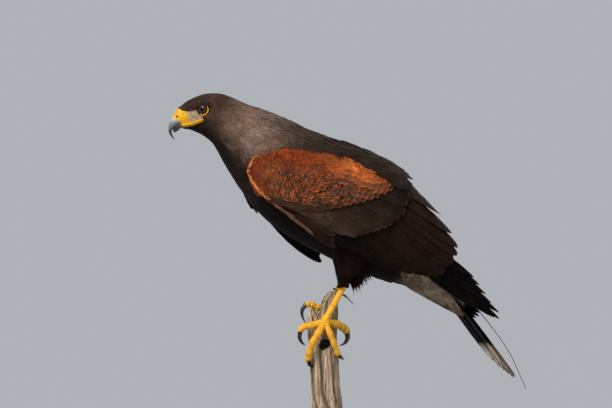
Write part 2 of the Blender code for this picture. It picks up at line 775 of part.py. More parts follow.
def make_vane(middles, normals, aside, widths, lifts, tilts, trim=None):
    """A thin feather along a line of middles. Aside points to its upper edge, and tilt lowers that edge.

    Both faces are split into triangles alike, so that its thickness stays even.
    """
    tangents = np.gradient(middles, axis=0)
    top, low = [], []
    for i, middle in enumerate(middles):
        across = unit(np.cross(normals[i], tangents[i]))
        across = across * math.copysign(1, across @ aside[i])
        for q in (-1, 0, 1):
            reach = q * widths[i] / 2
            if trim is not None and q < 0:
                reach = max(reach, -trim[i])
            lift = lifts[i] - tilts[i] * reach - reach * reach / (2 * VANE_CURVE)
            place = middle + across * reach
            top.append(place + normals[i] * (lift + VANE_THICK / 2))
            low.append(place + normals[i] * (lift - VANE_THICK / 2))
    rows, under = len(middles), len(top)
    faces = []
    for i in range(rows - 1):
        for j in range(2):
            a, b = i * 3 + j, i * 3 + j + 1
            faces += [(a, b, b + 3), (a, b + 3, a + 3)]
            a, b = a + under, b + under
            faces += [(a, b + 3, b), (a, a + 3, b + 3)]
        for j, turned in ((0, False), (2, True)):
            a, b = i * 3 + j, (i + 1) * 3 + j
            side = (a, b, b + under, a + under)
            faces.append(side[::-1] if turned else side)
    for i, turned in ((0, True), (rows - 1, False)):
        for j in range(2):
            a, b = i * 3 + j, i * 3 + j + 1
            side = (a, b, b + under, a + under)
            faces.append(side[::-1] if turned else side)
    vane = new_object("vane", np.array(top + low), faces)
    face_outwards(vane)
    return vane


def feather_row(side, rows, count, width, lift, stations):
    """A row of feathers on the wing, each a vane, from the lowest to the highest."""
    vanes = []
    shares = np.array(stations)
    lines = []
    for t in np.linspace(0, 1, count):
        root_a, root_h, tip_a, tip_h = smooth(rows, t)[0]
        alongs = root_a + (tip_a - root_a) * shares
        root_turn, tip_turn = wing_turn(root_a, root_h), wing_turn(tip_a, tip_h)
        turns = root_turn + (tip_turn - root_turn) * shares
        middles = np.array([wing_surface(a, t, 0, side) for a, t in zip(alongs, turns)])
        normals = np.array(
            [unit(wing_surface(a, t, 1, side) - m) for a, t, m in zip(alongs, turns, middles)]
        )
        aside = np.array(
            [wing_surface(a, t + 0.05, 0, side) - m for a, t, m in zip(alongs, turns, middles)]
        )
        lines.append((middles, normals, aside))
    for i, (middles, normals, aside) in enumerate(lines):
        beside = lines[i + 1][0] if i + 1 < count else lines[i - 1][0]
        tangents = np.gradient(middles, axis=0)
        pitches = [
            np.linalg.norm(np.cross(b - m, unit(t))) for m, b, t in zip(middles, beside, tangents)
        ]
        tilts = (VANE_THICK + VANE_GAP) / np.maximum(pitches, MIN_PITCH)
        widths = width * np.interp(shares, VANE_SHARES, VANE_WIDTHS)
        lifts = np.interp(shares, (0, 0.5, 1), lift)
        vanes.append(make_vane(middles, normals, aside, widths, lifts, tilts))
    return vanes


def build_wing(side, surface, cutters):
    wing = wing_core(f"wing_{SIDE_NAMES[side]}", side, surface)
    vanes = feather_row(
        side, SECONDARIES, SECONDARY_COUNT, SECONDARY_WIDTH, SECONDARY_LIFT, LONG_STATIONS
    )
    vanes += feather_row(
        side, GREATER_COVERTS, GREATER_COUNT, GREATER_WIDTH, GREATER_LIFT, SHORT_STATIONS
    )
    hand_rows = [
        (share, a, h - hand_drop(a, side), b, k - hand_drop((a + b) / 2, side))
        for share, a, h, b, k in HAND_COVERTS
    ]
    vanes += feather_row(side, hand_rows, HAND_COUNT, HAND_WIDTH, HAND_LIFT, SHORT_STATIONS)
    vanes += feather_row(side, PRIMARIES, PRIMARY_COUNT, PRIMARY_WIDTH, PRIMARY_LIFT, LONG_STATIONS)
    combine(wing, vanes, "UNION")
    combine(wing, [cutter() for cutter in cutters], "DIFFERENCE")
    return wing


def tail_place(along, across, below):
    """A point on the tail: along it from the root, across it, and below its upper face."""
    c, s = math.cos(TAIL_SLOPE), math.sin(TAIL_SLOPE)
    x = TAIL_ROOT[0] + along * c - below * s
    z = TAIL_ROOT[1] - along * s - below * c
    return np.array([x, across, z])


def tail_rings(rows, grow=0.0):
    rings = []
    for along, half, thick in rows:
        across = np.linspace(-half - grow, half + grow, 7)
        upper = [tail_place(along, y, TAIL_ARCH * y * y - grow) for y in across]
        lower = [tail_place(along, y, TAIL_ARCH * y * y + thick + grow) for y in across[::-1]]
        rings.append(np.array(upper + lower))
    along = rings[1].mean(axis=0) - rings[0].mean(axis=0)
    rings[0] = rings[0] - unit(along) * grow
    return rings


def build_tail(surface):
    """A closed tail: the middle feather lies on top, and each pair further out lies below the last."""
    tail = make_solid("tail", tail_rings(TAIL_CORE), surface)
    shares = np.array(LONG_STATIONS)
    normal = unit(tail_place(0, 0, 0) - tail_place(0, 0, 1))
    vanes = []
    for pair in range(TAIL_PAIRS + 1):
        for side in (LEFT, RIGHT) if pair else (RIGHT,):
            reach = TAIL_LENGTH - TAIL_STEP_BACK * pair - TAIL_VANE_START
            alongs = TAIL_VANE_START + reach * shares
            apart = pair * (TAIL_PITCH[0] + (TAIL_PITCH[1] - TAIL_PITCH[0]) * shares)
            depth = TAIL_ARCH * apart**2 + VANE_THICK + pair * TAIL_VANE_STEP
            middles = np.array([tail_place(a, side * y, d) for a, y, d in zip(alongs, apart, depth)])
            slope = 2 * TAIL_ARCH * apart
            widths = TAIL_VANE_WIDTH * np.interp(shares, VANE_SHARES, VANE_WIDTHS)
            trim = apart - GAP if pair else None
            normals = np.tile(normal, (len(shares), 1))
            aside = np.tile((0, side, 0), (len(shares), 1))
            vanes.append(
                make_vane(middles, normals, aside, widths, np.zeros(len(shares)), slope, trim)
            )
    combine(tail, vanes, "UNION")
    return tail


def covert_ring(position, turns):
    """Points round the tail coverts at a position along them, from the back at 0."""
    rows = [(i, *c[0], *c[1], c[2]) for i, c in enumerate(TAIL_COVERTS)]
    values = smooth(rows, position)[0]
    middle = np.array([(values[0] + values[2]) / 2, 0, (values[1] + values[3]) / 2])
    up = np.array([values[0] - values[2], 0, values[1] - values[3]]) / 2
    return middle + np.outer(np.cos(turns), up) + np.outer(np.sin(turns) * values[4], (0, 1, 0))


def build_tail_coverts(surface):
    """The mass of long soft feathers that wraps the root of the tail, in two lobes below."""
    turns = np.linspace(0, 2 * math.pi, 20, endpoint=False)
    rings = [covert_ring(p, turns) for p in np.linspace(0, COVERT_CORE_END, 7)]
    square = unit(np.cross(rings[0][0] - rings[0].mean(axis=0), (0, 1, 0)))
    toward = rings[1].mean(axis=0) - rings[0].mean(axis=0)
    rings[0] = rings[0] + square * math.copysign(GAP / 2, square @ toward)
    coverts = make_solid("tail_coverts", rings, surface)
    vanes = []
    for turn, first, last in COVERT_VANES:
        for side in (LEFT, RIGHT):
            positions = first + (last - first) * np.array(SHORT_STATIONS)
            turns = math.pi - side * math.radians(turn)
            middles = np.concatenate([covert_ring(p, [turns]) for p in positions])
            beside = np.concatenate([covert_ring(p, [turns - side * 0.05]) for p in positions])
            aside = beside - middles
            axis = [covert_ring(p, np.array([turns, turns + math.pi])).mean(axis=0) for p in positions]
            outward = middles - np.array(axis)
            tangents = np.gradient(middles, axis=0)
            normals = np.array([unit(np.cross(np.cross(t, o), t)) for t, o in zip(tangents, outward)])
            widths = COVERT_WIDTH * np.interp(SHORT_STATIONS, VANE_SHARES, VANE_WIDTHS)
            lifts = np.interp(SHORT_STATIONS, (0, 0.5, 1), COVERT_LIFT)
            tilts = np.full(len(positions), COVERT_TILT)
            vanes.append(make_vane(middles, normals, aside, widths, lifts, tilts))
    combine(coverts, vanes, "UNION")
    combine(coverts, [make_solid("tail room", tail_rings(TAIL_ROOM, GAP))], "DIFFERENCE")
    return coverts


def thigh_rings(side, grow=0.0):
    rows = [(i, *row[0], row[1], row[2]) for i, row in enumerate(THIGH)]
    rings = []
    shift, rise = THIGH_SHIFT[side]
    for x, y, z, long, wide in smooth(rows, np.linspace(0, len(THIGH) - 1, 9)):
        x, z = x + shift, z + rise
        angles = np.linspace(0, 2 * math.pi, 16, endpoint=False)
        rings.append(
            np.array(
                [
                    (x + (long + grow) * math.cos(a), side * (y + (wide + grow) * math.sin(a)), z)
                    for a in angles
                ]
            )
        )
    return rings


def build_thigh(side, surface, cutters):
    thigh = make_solid(f"thigh_{SIDE_NAMES[side]}", thigh_rings(side), surface)
    if side == RIGHT:
        shares = np.array(SHORT_STATIONS)
        widths = FRINGE_WIDTH * np.interp(shares, VANE_SHARES, VANE_WIDTHS)
        flat, rows = np.zeros(len(shares)), len(shares)
        out, aside = np.tile((0, side, 0), (rows, 1)), np.tile((1, 0, 0), (rows, 1))
        vanes = [
            make_vane(np.array(root) + np.outer(shares, np.subtract(tip, root)), out, aside, widths, flat, flat)
            for root, tip in THIGH_FRINGE
        ]
        combine(thigh, vanes, "UNION")
    combine(thigh, [cutter() for cutter in cutters], "DIFFERENCE")
    return thigh


def claw_rings(path, thick, around=6):
    middle = refine(path, len(CLAW_TAPER))
    radii = [thick * share for share in CLAW_TAPER]
    return tube_rings(middle, radii, around, flatten=0.85, start_up=(0.3, 0.2, 1))


def toe_rings(path, thick, around=8):
    """A toe with a slight swelling at each joint."""
    count = 2 * (len(path) - 1) + 1
    middle = refine(path, count)
    steps = np.arange(count)
    swell = 1 + TOE_SWELL * np.cos(steps * math.pi)
    radii = thick * swell * np.linspace(*TOE_TAPER, count)
    return tube_rings(middle, radii, around, flatten=0.92, start_up=(0.3, 0.2, 1))


def build_feet(scales, claws):
    """Each foot is a shank and a hand of four toes, with the claws apart."""
    for side in (LEFT, RIGHT):
        side_name = SIDE_NAMES[side]
        hock, foot = np.array(HOCK[side], float), np.array(FOOT[side], float)
        down = unit(foot - hock)
        ankle = foot - down * ANKLE_LENGTH
        radii = np.interp(np.linspace(0, 3, 7), range(4), TARSUS_RADIUS)
        top = hock - down * HOCK_LENGTH
        shank = refine([top, top + (ankle - top) * 0.35, top + (ankle - top) * 0.75, ankle], 7)
        tarsus = make_solid(
            f"tarsus_{side_name}", tube_rings(shank, radii, 12, start_up=(1, 0, 0)), scales
        )
        thigh = make_solid("thigh cutter", thigh_rings(side, GAP))
        combine(tarsus, [thigh], "DIFFERENCE", solver="EXACT")
        palm = refine([ankle + down * GAP, foot, foot + down * PALM_LENGTH], len(PALM_SWELL))
        palm_radii = np.array(PALM_SWELL) * TARSUS_RADIUS[-1]
        toes = make_solid(
            f"toes_{side_name}", tube_rings(palm, palm_radii, 12, start_up=(1, 0, 0)), scales
        )
        digits = []
        for (of_side, digit), (path, claw_path, thick) in TOES.items():
            if of_side != side:
                continue
            start = foot + (np.array(path[0]) - foot) * TOE_ROOT
            digits.append(make_solid("digit", toe_rings([start, *path[1:]], thick)))
            claw = make_solid(
                f"claw_{side_name}_{digit}", claw_rings(claw_path, thick * CLAW_SHARE), claws
            )
            combine(claw, perch_pieces(GRIP_GAP), "DIFFERENCE")
        combine(toes, digits, "UNION", solver="EXACT")
        shank[-1] = ankle + down * GAP
        above = make_solid("shank cutter", tube_rings(shank, radii + GAP, 12, start_up=(1, 0, 0)))
        combine(toes, [above, *perch_pieces(GRIP_GAP)], "DIFFERENCE", solver="EXACT")


def split_wood(name, rows, grow, surface=None, seed=0):
    """A length of split wood through rows of: height, middle x, middle y, reach in x, reach in y."""
    rng = np.random.default_rng(seed)
    flute = 1 + rng.uniform(-WOOD_FLUTE, WOOD_FLUTE, PERCH_AROUND)
    angles = np.linspace(0, 2 * math.pi, PERCH_AROUND, endpoint=False)
    rings = []
    for i, (z, x, y, long, wide) in enumerate(rows):
        edge = flute + rng.uniform(-WOOD_UNEVEN, WOOD_UNEVEN, PERCH_AROUND)
        heights = np.full(PERCH_AROUND, z - grow if i == 0 else z)
        if i == len(rows) - 1:
            heights = z + grow + rng.uniform(-SPLINTER, SPLINTER, PERCH_AROUND)
        across = x + (long * edge + grow) * np.cos(angles)
        aside = y + (wide * edge + grow) * np.sin(angles)
        rings.append(np.stack([across, aside, heights], axis=1))
    centre = np.array([x, y, z + grow - HOLLOW])
    rings.append(centre + (rings[-1] - centre) * (HOLLOW_SHARE, HOLLOW_SHARE, 0))
    return make_solid(name, rings, surface)


def perch_pieces(grow=0.0, surface=None):
    return [
        split_wood(name, rows, grow, surface, seed)
        for seed, (name, rows) in enumerate(PERCH_WOOD.items())
    ]


def build_perch(surface):
    perch, *rest = perch_pieces(surface=surface)
    perch.name = "perch"
    combine(perch, rest, "UNION", solver="EXACT")
    return perch


def build_tag(surface, band):
    """The small box and thin rod of the tail tag, and the tie round the far leg."""
    long, wide, tall = TAG_SIZE
    along = np.array([math.cos(TAIL_SLOPE), 0, -math.sin(TAIL_SLOPE)])
    up = np.array([math.sin(TAIL_SLOPE), 0, math.cos(TAIL_SLOPE)])
    centre = np.array(TAG_CENTRE, float)
    rings = []
    for reach, share in ((-0.5, 0.7), (-0.4, 1), (0.4, 1), (0.5, 0.7)):
        middle = centre + along * reach * long
        rings.append(
            np.array(
                [
                    middle + up * tall / 2 * share * a + np.array([0, wide / 2 * share * b, 0])
                    for a, b in ((1, -0.7), (1, 0.7), (0.6, 1), (-1, 1), (-1, -1), (0.6, -1))
                ]
            )
        )
    make_solid("tail_tag", rings, surface)
    start = centre + along * (long / 2 + GAP)
    rod = refine([start, *[(x, 0, z) for x, z in ANTENNA_PATH]], 15)
    radii = np.linspace(ANTENNA_RADIUS, ANTENNA_RADIUS * 0.7, 15)
    make_solid("tail_antenna", tube_rings(rod, radii, 6, start_up=(0, 1, 0)), surface)

    hock, foot = np.array(HOCK[RIGHT], float), np.array(FOOT[RIGHT], float)
    down = unit(foot - hock)
    middle = hock + down * TIE_DROP
    side = unit(np.cross(down, (0, 1, 0)))
    front = unit(np.cross(side, down))
    turns = np.linspace(0, 2 * math.pi, 13)[:-1]
    ring = middle + TIE_RADIUS * (np.outer(np.cos(turns), side) + np.outer(np.sin(turns), front))
    tie = closed_ring("leg_tie", ring, down, middle, TIE_THICK, around=6)
    tie.data.materials.append(band)
    ends = []
    for tip in TIE_TIPS:
        tip = np.array(tip, float)
        start = middle + TIE_RADIUS * unit(tip - middle - down * ((tip - middle) @ down))
        path = refine([start, start + (tip - start) * 0.5 + np.array([1, 0, 0.8]), tip], 5)
        ends.append(make_solid("end", tube_rings(path, np.linspace(TIE_THICK, 0.5, 5), 6)))
    combine(tie, ends, "UNION", solver="EXACT")


def build_stand(wood, metal):
    """A round base and a short rod up to the cut end of the perch."""
    turns = np.linspace(0, 2 * math.pi, 40, endpoint=False)
    circle = np.stack([np.cos(turns), np.sin(turns), np.zeros(len(turns))], axis=1)
    profile = (
        (BASE_RADIUS, 0),
        (BASE_RADIUS, BASE_HEIGHT - BASE_BEVEL),
        (BASE_RADIUS - BASE_BEVEL, BASE_HEIGHT),
    )
    make_solid("stand_base", [circle * radius + (0, 0, z) for radius, z in profile], wood)
    ends = (BASE_HEIGHT + GAP, PERCH_BOTTOM - GAP)
    make_solid("stand_rod", [circle[::2] * ROD_RADIUS + (ROD_X, 0, z) for z in ends], metal)


def main():
    clear_scene()
    dark = material("dark brown feather", (0.05, 0.035, 0.03), 0.7)
    rusty = material("rusty brown feather", (0.16, 0.06, 0.025), 0.7)
    black = material("black tail feather", (0.02, 0.017, 0.016), 0.65)
    pale = material("white tail covert feather", (0.55, 0.5, 0.44), 0.8)
    rufous = material("rufous leg feather", (0.12, 0.045, 0.022), 0.8)
    horn = material("blue grey horn", (0.1, 0.11, 0.13), 0.35)
    yellow = material("yellow scaly skin", (0.8, 0.5, 0.03), 0.5)
    eye = material("brown eye", (0.05, 0.02, 0.01), 0.1)
    wood = material("weathered wood", (0.35, 0.28, 0.22), 0.85)
    board = material("oiled walnut", (0.12, 0.07, 0.045), 0.5)
    steel = material("brushed steel", (0.5, 0.5, 0.5), 0.3, 1.0)
    plastic = material("black plastic", (0.02, 0.02, 0.02), 0.5)
    leather = material("black leather", (0.02, 0.015, 0.012), 0.7)

    build_head(dark)
    build_bill(horn, yellow)
    build_eyes(eye)
    body_part("neck", "neck base", "nape", dark)
    body_part("torso", "tail root", "neck base", dark)

    def flesh():
        return body_part("flesh", "tail root", "nape", grow=FLESH_ROOM, step=1, around=FLESH_AROUND)

    def tail_room():
        return make_solid("tail room", tail_rings(TAIL_ROOM, GAP))

    for side in (LEFT, RIGHT):

        def thigh_room(side=side):
            return make_solid("thigh room", thigh_rings(side, GAP))

        build_thigh(side, rufous, [flesh])
        build_wing(side, rusty, [flesh, thigh_room, tail_room])
    build_tail(black)
    build_tail_coverts(pale)
    build_feet(yellow, horn)
    build_perch(wood)
    build_stand(board, steel)
    build_tag(plastic, leather)


main()
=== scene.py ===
# %% [markdown]
# A Harris's hawk on a weathered snag, shown as a museum would: life size, still, on a plain stand.
# The solids under it come already packed, in metres, with the bird facing -X, its left side at -Y and
# the floor at zero height. This script dresses them. One skin takes the place of the flesh, and
# feathers are laid over that skin in rows, from the tail to the bill, as they grow on the real bird.
# The dressed bird has to stay inside it.

import json
import math

import bpy
import numpy as np
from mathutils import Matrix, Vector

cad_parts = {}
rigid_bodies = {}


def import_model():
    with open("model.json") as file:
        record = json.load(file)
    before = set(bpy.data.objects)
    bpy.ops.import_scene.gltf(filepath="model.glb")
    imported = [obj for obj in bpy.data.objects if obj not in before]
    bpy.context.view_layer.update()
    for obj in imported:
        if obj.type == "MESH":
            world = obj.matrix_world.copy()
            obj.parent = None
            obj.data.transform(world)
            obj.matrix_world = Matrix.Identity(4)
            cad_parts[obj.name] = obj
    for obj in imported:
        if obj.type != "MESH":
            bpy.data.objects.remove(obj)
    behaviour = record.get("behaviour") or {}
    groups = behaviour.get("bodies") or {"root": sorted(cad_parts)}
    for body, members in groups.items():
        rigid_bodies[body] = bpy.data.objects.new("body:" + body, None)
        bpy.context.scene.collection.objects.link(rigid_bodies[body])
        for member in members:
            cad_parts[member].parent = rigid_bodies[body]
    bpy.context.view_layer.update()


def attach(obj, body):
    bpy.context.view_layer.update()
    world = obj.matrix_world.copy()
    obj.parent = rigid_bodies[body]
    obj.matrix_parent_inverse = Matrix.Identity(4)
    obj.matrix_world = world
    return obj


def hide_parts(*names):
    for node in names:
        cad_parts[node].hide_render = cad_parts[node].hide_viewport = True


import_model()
bpy.ops.object.select_all(action="DESELECT")
scene = bpy.context.scene

# %% [markdown]
# Lengths are written in millimetres and turned to metres when a mesh is made. A colour is written as the
# hex number that a paint chart would give, and one function turns it to the linear values that the
# shader works in. Every random choice comes from one seeded source, so each run makes the same bird.

# %% Units, colours and chance
MM = 0.001
LEFT, RIGHT = -1, 1
SIDE_NAMES = {LEFT: "left", RIGHT: "right"}
chance = np.random.default_rng(20)


def paint(code):
    """The linear red, green and blue of a colour written as sRGB hex."""
    values = np.array([int(code[i : i + 2], 16) for i in (0, 2, 4)]) / 255
    return np.where(values <= 0.04045, values / 12.92, ((values + 0.055) / 1.055) ** 2.4)


def unit(vectors):
    vectors = np.asarray(vectors, float)
    return vectors / np.maximum(np.linalg.norm(vectors, axis=-1, keepdims=True), 1e-9)


def ramp(low, high, value):
    """A smooth step from 0 at low to 1 at high."""
    t = np.clip((np.asarray(value, float) - low) / (high - low), 0, 1)
    return t * t * (3 - 2 * t)


def mix(a, b, share):
    """Between two colours, or two rows of colours, by a share each."""
    share = np.asarray(share, float)[..., None]
    return np.asarray(a) * (1 - share) + np.asarray(b) * share


def smooth(rows, at):
    """Values of a smooth curve through rows of (position, value, ...) at an array of positions."""
    rows = np.array(rows, float)
    x, y = rows[:, 0], rows[:, 1:]
    slope = np.gradient(y, x, axis=0)
    at = np.clip(np.asarray(at, float), x[0], x[-1])
    i = np.clip(np.searchsorted(x, at, side="right") - 1, 0, len(x) - 2)
    h = (x[i + 1] - x[i])[..., None]
    t = ((at - x[i]) / (x[i + 1] - x[i]))[..., None]
    return (
        (2 * t**3 - 3 * t**2 + 1) * y[i]
        + (t**3 - 2 * t**2 + t) * h * slope[i]
        + (3 * t**2 - 2 * t**3) * y[i + 1]
        + (t**3 - t**2) * h * slope[i + 1]
    )


def columns(rows, at):
    """The smooth curve's values, each column by itself."""
    return np.moveaxis(smooth(rows, at), -1, 0)


def circle(count):
    """Angles evenly round a circle."""
    return np.linspace(0, 2 * np.pi, count, endpoint=False)


print("umber in linear values:", paint("3d302b").round(3))

# %% [markdown]
# The camera comes first, so that every later choice can be judged in the photograph's own frame. It
# stands 2.8 m off the bird's left side, a little ahead of it and a little below, and looks slightly up.
# The lens is worked out from the real width that the frame covers. Three large soft lamps do what an
# open sky and a low sun did: a key from above and ahead, a weak fill from the camera's side and a rim
# from behind.

# %% Camera and soft light
VIEW_TURN, VIEW_RISE, VIEW_DISTANCE = math.radians(-12), math.radians(-4.5), 2.8
VIEW_TARGET = np.array([-0.0245, 0, 0.290])
FRAME_WIDTH, SENSOR = 0.7344, 36
to_camera = np.array([
    math.sin(VIEW_TURN) * math.cos(VIEW_RISE), -math.cos(VIEW_TURN) * math.cos(VIEW_RISE),
    math.sin(VIEW_RISE),
])


def aim(obj, place, target):
    """Puts an object at a place and turns its -Z axis to the target."""
    direction = Vector(np.subtract(target, place))
    obj.location = place
    obj.rotation_euler = direction.to_track_quat("-Z", "Y").to_euler()


camera_data = bpy.data.cameras.new("camera")
camera_data.sensor_width = SENSOR
camera_data.lens = SENSOR * VIEW_DISTANCE / FRAME_WIDTH
camera = bpy.data.objects.new("camera", camera_data)
scene.collection.objects.link(camera)
aim(camera, VIEW_TARGET + to_camera * VIEW_DISTANCE, VIEW_TARGET)
scene.camera = camera

# Rows of: name, place, size across in metres, watts, colour.
LAMPS = [
    ("key lamp", (-1.5, -1.7, 2.3), 1.1, 88, "ffedd2"),
    ("fill lamp", (-0.4, -2.6, 0.9), 2.0, 4, "f2f3ff"),
    ("rim lamp", (1.3, 1.4, 1.9), 1.2, 17, "fbf8f4"),
]
for name, place, across, watts, colour in LAMPS:
    lamp_data = bpy.data.lights.new(name, "AREA")
    lamp_data.size = across
    lamp_data.energy = watts
    lamp_data.color = paint(colour)
    lamp = bpy.data.objects.new(name, lamp_data)
    scene.collection.objects.link(lamp)
    aim(lamp, place, (0, 0, 0.28))

world = bpy.data.worlds.new("soft studio")
world.use_nodes = True
sky = world.node_tree.nodes["Background"].inputs
sky["Color"].default_value = (*paint("d8dce2"), 1)
sky["Strength"].default_value = 0.62
scene.world = world
scene.view_settings.view_transform = "Standard"
print("lens:", round(camera_data.lens, 1), "mm, lamps:", len(LAMPS))

# %% [markdown]
# A material is a small graph of nodes. One helper adds a node, sets or links what is given and hands back
# the node's own output, so each recipe reads from top to bottom. It ends by linking its colour and its
# relief to the shader. Relief is bump, for detail under half a millimetre that would cost too many faces.

# %% The helper that adds a node
def node(tree, kind, inputs, out=0, **settings):
    """Adds a node and returns an output. Inputs go by order, or by socket name or number in a dict."""
    made = tree.nodes.new("ShaderNode" + kind)
    for name, value in settings.items():
        setattr(made, name, value)
    for name, value in (inputs if isinstance(inputs, dict) else dict(enumerate(inputs))).items():
        socket = made.inputs[name]
        if isinstance(value, bpy.types.NodeSocket):
            tree.links.new(value, socket)
        elif socket.type == "RGBA":
            socket.default_value = (*value, 1)
        else:
            socket.default_value = value
    return made.outputs[out]


def start_material(name, roughness, **settings):
    """A new material, its tree and its place on the object."""
    made = bpy.data.materials.new(name)
    made.use_nodes = True
    tree = made.node_tree
    for socket, value in {"Roughness": roughness, **settings}.items():
        tree.nodes["Principled BSDF"].inputs[socket.replace("_", " ")].default_value = value
    return made, tree, node(tree, "TexCoord", {}, out="Object")


def end_material(tree, colour, height=None, depth=0.0, strength=0.0):
    """Links a colour to the shader, and a height of 0 to 1 times a depth in millimetres if given."""
    shader = tree.nodes["Principled BSDF"]
    tree.links.new(colour, shader.inputs["Base Color"])
    if height is not None:
        relief = node(tree, "Bump", {"Height": height, "Distance": depth * MM, "Strength": strength})
        tree.links.new(relief, shader.inputs["Normal"])


# Settings that many nodes share: a blend of two colours, and a smooth step from one range to another.
COLOURS = {"data_type": "RGBA", "out": 2}
STEP = {"interpolation_type": "SMOOTHSTEP"}
print("node helper ready")

# %% [markdown]
# The bird stands on a sheet of pale studio paper, small enough to end below the picture. It is matt, so
# that it catches soft shadows and draws no eye.

# %% The floor
# Matt paper: its faint clouds tell the eye that there is a real sheet below, and not empty space.
paper, tree, place = start_material("matt studio paper", 0.9)
grain = node(tree, "TexNoise", {"Vector": place, "Scale": 90, "Detail": 3})
share = node(tree, "MapRange", (grain, 0.3, 0.7), **STEP)
tone = node(tree, "Mix", {0: share, 6: paint("b7babe"), 7: paint("c1c4c8")}, **COLOURS)
end_material(tree, tone)
bpy.ops.mesh.primitive_circle_add(vertices=96, radius=4, fill_type="NGON")
floor = bpy.context.active_object
floor.name = "studio_floor"
floor.data.materials.append(paper)
print("floor radius 4 m")

# %% [markdown]
# The bird's form is held by a few surfaces, each a function of two places and a lift off it. The trunk,
# neck and head are one row of egg-shaped sections from the tail's root to the bill, turned a little at
# the neck. Skin and feathers both ask the same function where the surface is, so they always agree.
# The tables repeat the named sections of the solids, because this script can't read that file.

# %% The surface of the trunk, neck and head
# Each section runs from a point (x, z) on the back to one on the belly, and has a half width.
BODY_SECTIONS = {
    "tail root": ((117, 243), (93, 196), 24),
    "rump": ((108, 280), (72, 199), 34),
    "loin": ((92, 316), (44, 209), 45),
    "lower back": ((65, 344), (10, 223), 53),
    "mid back": ((32, 361), (-26, 240), 57),
    "shoulders": ((-1, 373), (-58, 259), 57),
    "breast": ((-24, 381), (-84, 281), 53),
    "neck base": ((-43, 390), (-104, 306), 46),
    "low neck": ((-60, 397), (-114, 321), 40),
    "mid neck": ((-77, 403), (-123, 336), 35),
    "high neck": ((-96, 409), (-131, 351), 31),
    "nape": ((-113, 417), (-138, 362), 28),
    "back of skull": ((-128, 422), (-149, 371), 25.5),
    "eye": ((-145, 422), (-159, 376), 22.5),
    "lores": ((-158, 418), (-166, 378.5), 17.5),
    "forehead": ((-169, 412.5), (-171.5, 379), 12.8),
    "cere": ((-177.5, 406), (-175, 380.5), 9),
}
SECTION_ROWS = [(i, *s[0], *s[1], s[2]) for i, s in enumerate(BODY_SECTIONS.values())]
NECK, SKULL, FACE_END = 7, 11, len(BODY_SECTIONS) - 1
BELLY_FULL = 0.05
HEAD_TURN, TURN_PIVOT = math.radians(-12), -80

EYE_PLACE, EYE_RADIUS, EYE_SINK = (-147.1, 400.2), 7.4, 3.3
EYE_FORWARD, EYE_DOWN = 0.33, 0.06
BROW_FRONT, BROW_BACK, BROW_RISE, BROW_REACH = (-163, 406.0), (-138, 408.2), 2.5, 3.0
MOUTH_CORNER, MOUTH_FRONT, MOUTH_SAG = (-147.2, 387.6), (-178, 382.2), 1.6


def turn_head(points, share=1.0):
    """Turns points round an upright line through the neck by a share of the head's turn."""
    c, s = np.cos(HEAD_TURN * share), np.sin(HEAD_TURN * share)
    ahead, side = points[..., 0] - TURN_PIVOT, points[..., 1]
    return np.stack([TURN_PIVOT + ahead * c - side * s, ahead * s + side * c, points[..., 2]], axis=-1)


def to_line(x, z, start, end):
    """How far a place in side view is from a line between two points, and how far along it lies."""
    along = np.subtract(end, start)
    length = np.linalg.norm(along)
    share = np.clip(((x - start[0]) * along[0] + (z - start[1]) * along[1]) / length**2, 0, 1)
    return np.hypot(x - start[0] - share * along[0], z - start[1] - share * along[1]), share


def egg(rows, position, angle, lift=0.0, full=0.0):
    """A point on a row of egg-shaped sections. Angle 0 is their top, and the right side is positive."""
    position, angle = np.broadcast_arrays(np.asarray(position, float), np.asarray(angle, float))
    top_x, top_z, low_x, low_z, half_width = columns(rows, position)
    up_x, up_z = (top_x - low_x) / 2, (top_z - low_z) / 2
    rise = np.cos(angle) * (1 + lift / np.hypot(up_x, up_z))
    swell = 1 + full * np.sin(np.pi * np.clip(-np.cos(angle), 0, 1))
    reach = np.sin(angle) * (half_width + lift) * swell
    return np.stack([(top_x + low_x) / 2 + rise * up_x, reach, (top_z + low_z) / 2 + rise * up_z], axis=-1)


def straight_body(position, angle, lift=0.0):
    """The body before the head is turned."""
    return egg(SECTION_ROWS, position, angle, lift, BELLY_FULL)


def head_relief(x, z):
    """The brow stands out over the eye, and the face sinks a little before and under it."""
    off, share = to_line(x, z, BROW_FRONT, BROW_BACK)
    brow = BROW_RISE * np.exp(-((off / BROW_REACH) ** 2)) * np.sin(np.pi * (0.12 + 0.76 * share))
    lore, _ = to_line(x, z, (-165, 399), (-155, 396))
    cheek = np.hypot(x + 141, z - 391)
    return brow - 1.3 * np.exp(-((lore / 5) ** 2)) + 0.8 * np.exp(-((cheek / 7) ** 2))


def trunk(position, angle, lift=0.0):
    """A point on the trunk, neck or head, with the neck's turn and the relief of the face."""
    flat = straight_body(position, angle)
    beside = ramp(0.35, 0.8, np.abs(np.sin(angle)))
    relief = head_relief(flat[..., 0], flat[..., 2]) * beside * ramp(SKULL - 0.5, SKULL + 0.5, position)
    points = straight_body(position, angle, lift + relief)
    share = ramp(NECK, SKULL, position)
    return turn_head(points, share)


def head_place(x, z, side, sink=0.0):
    """A place on the side of the head from its place in side view, sunk by a depth."""
    positions, angles = np.meshgrid(np.linspace(SKULL, FACE_END, 120), np.linspace(0.2, 2.9, 120))
    flat = straight_body(positions, angles)
    nearest = np.argmin(np.hypot(flat[..., 0] - x, flat[..., 2] - z))
    y = flat[..., 1].ravel()[nearest] - sink
    return turn_head(np.array([x, side * y, z], float))


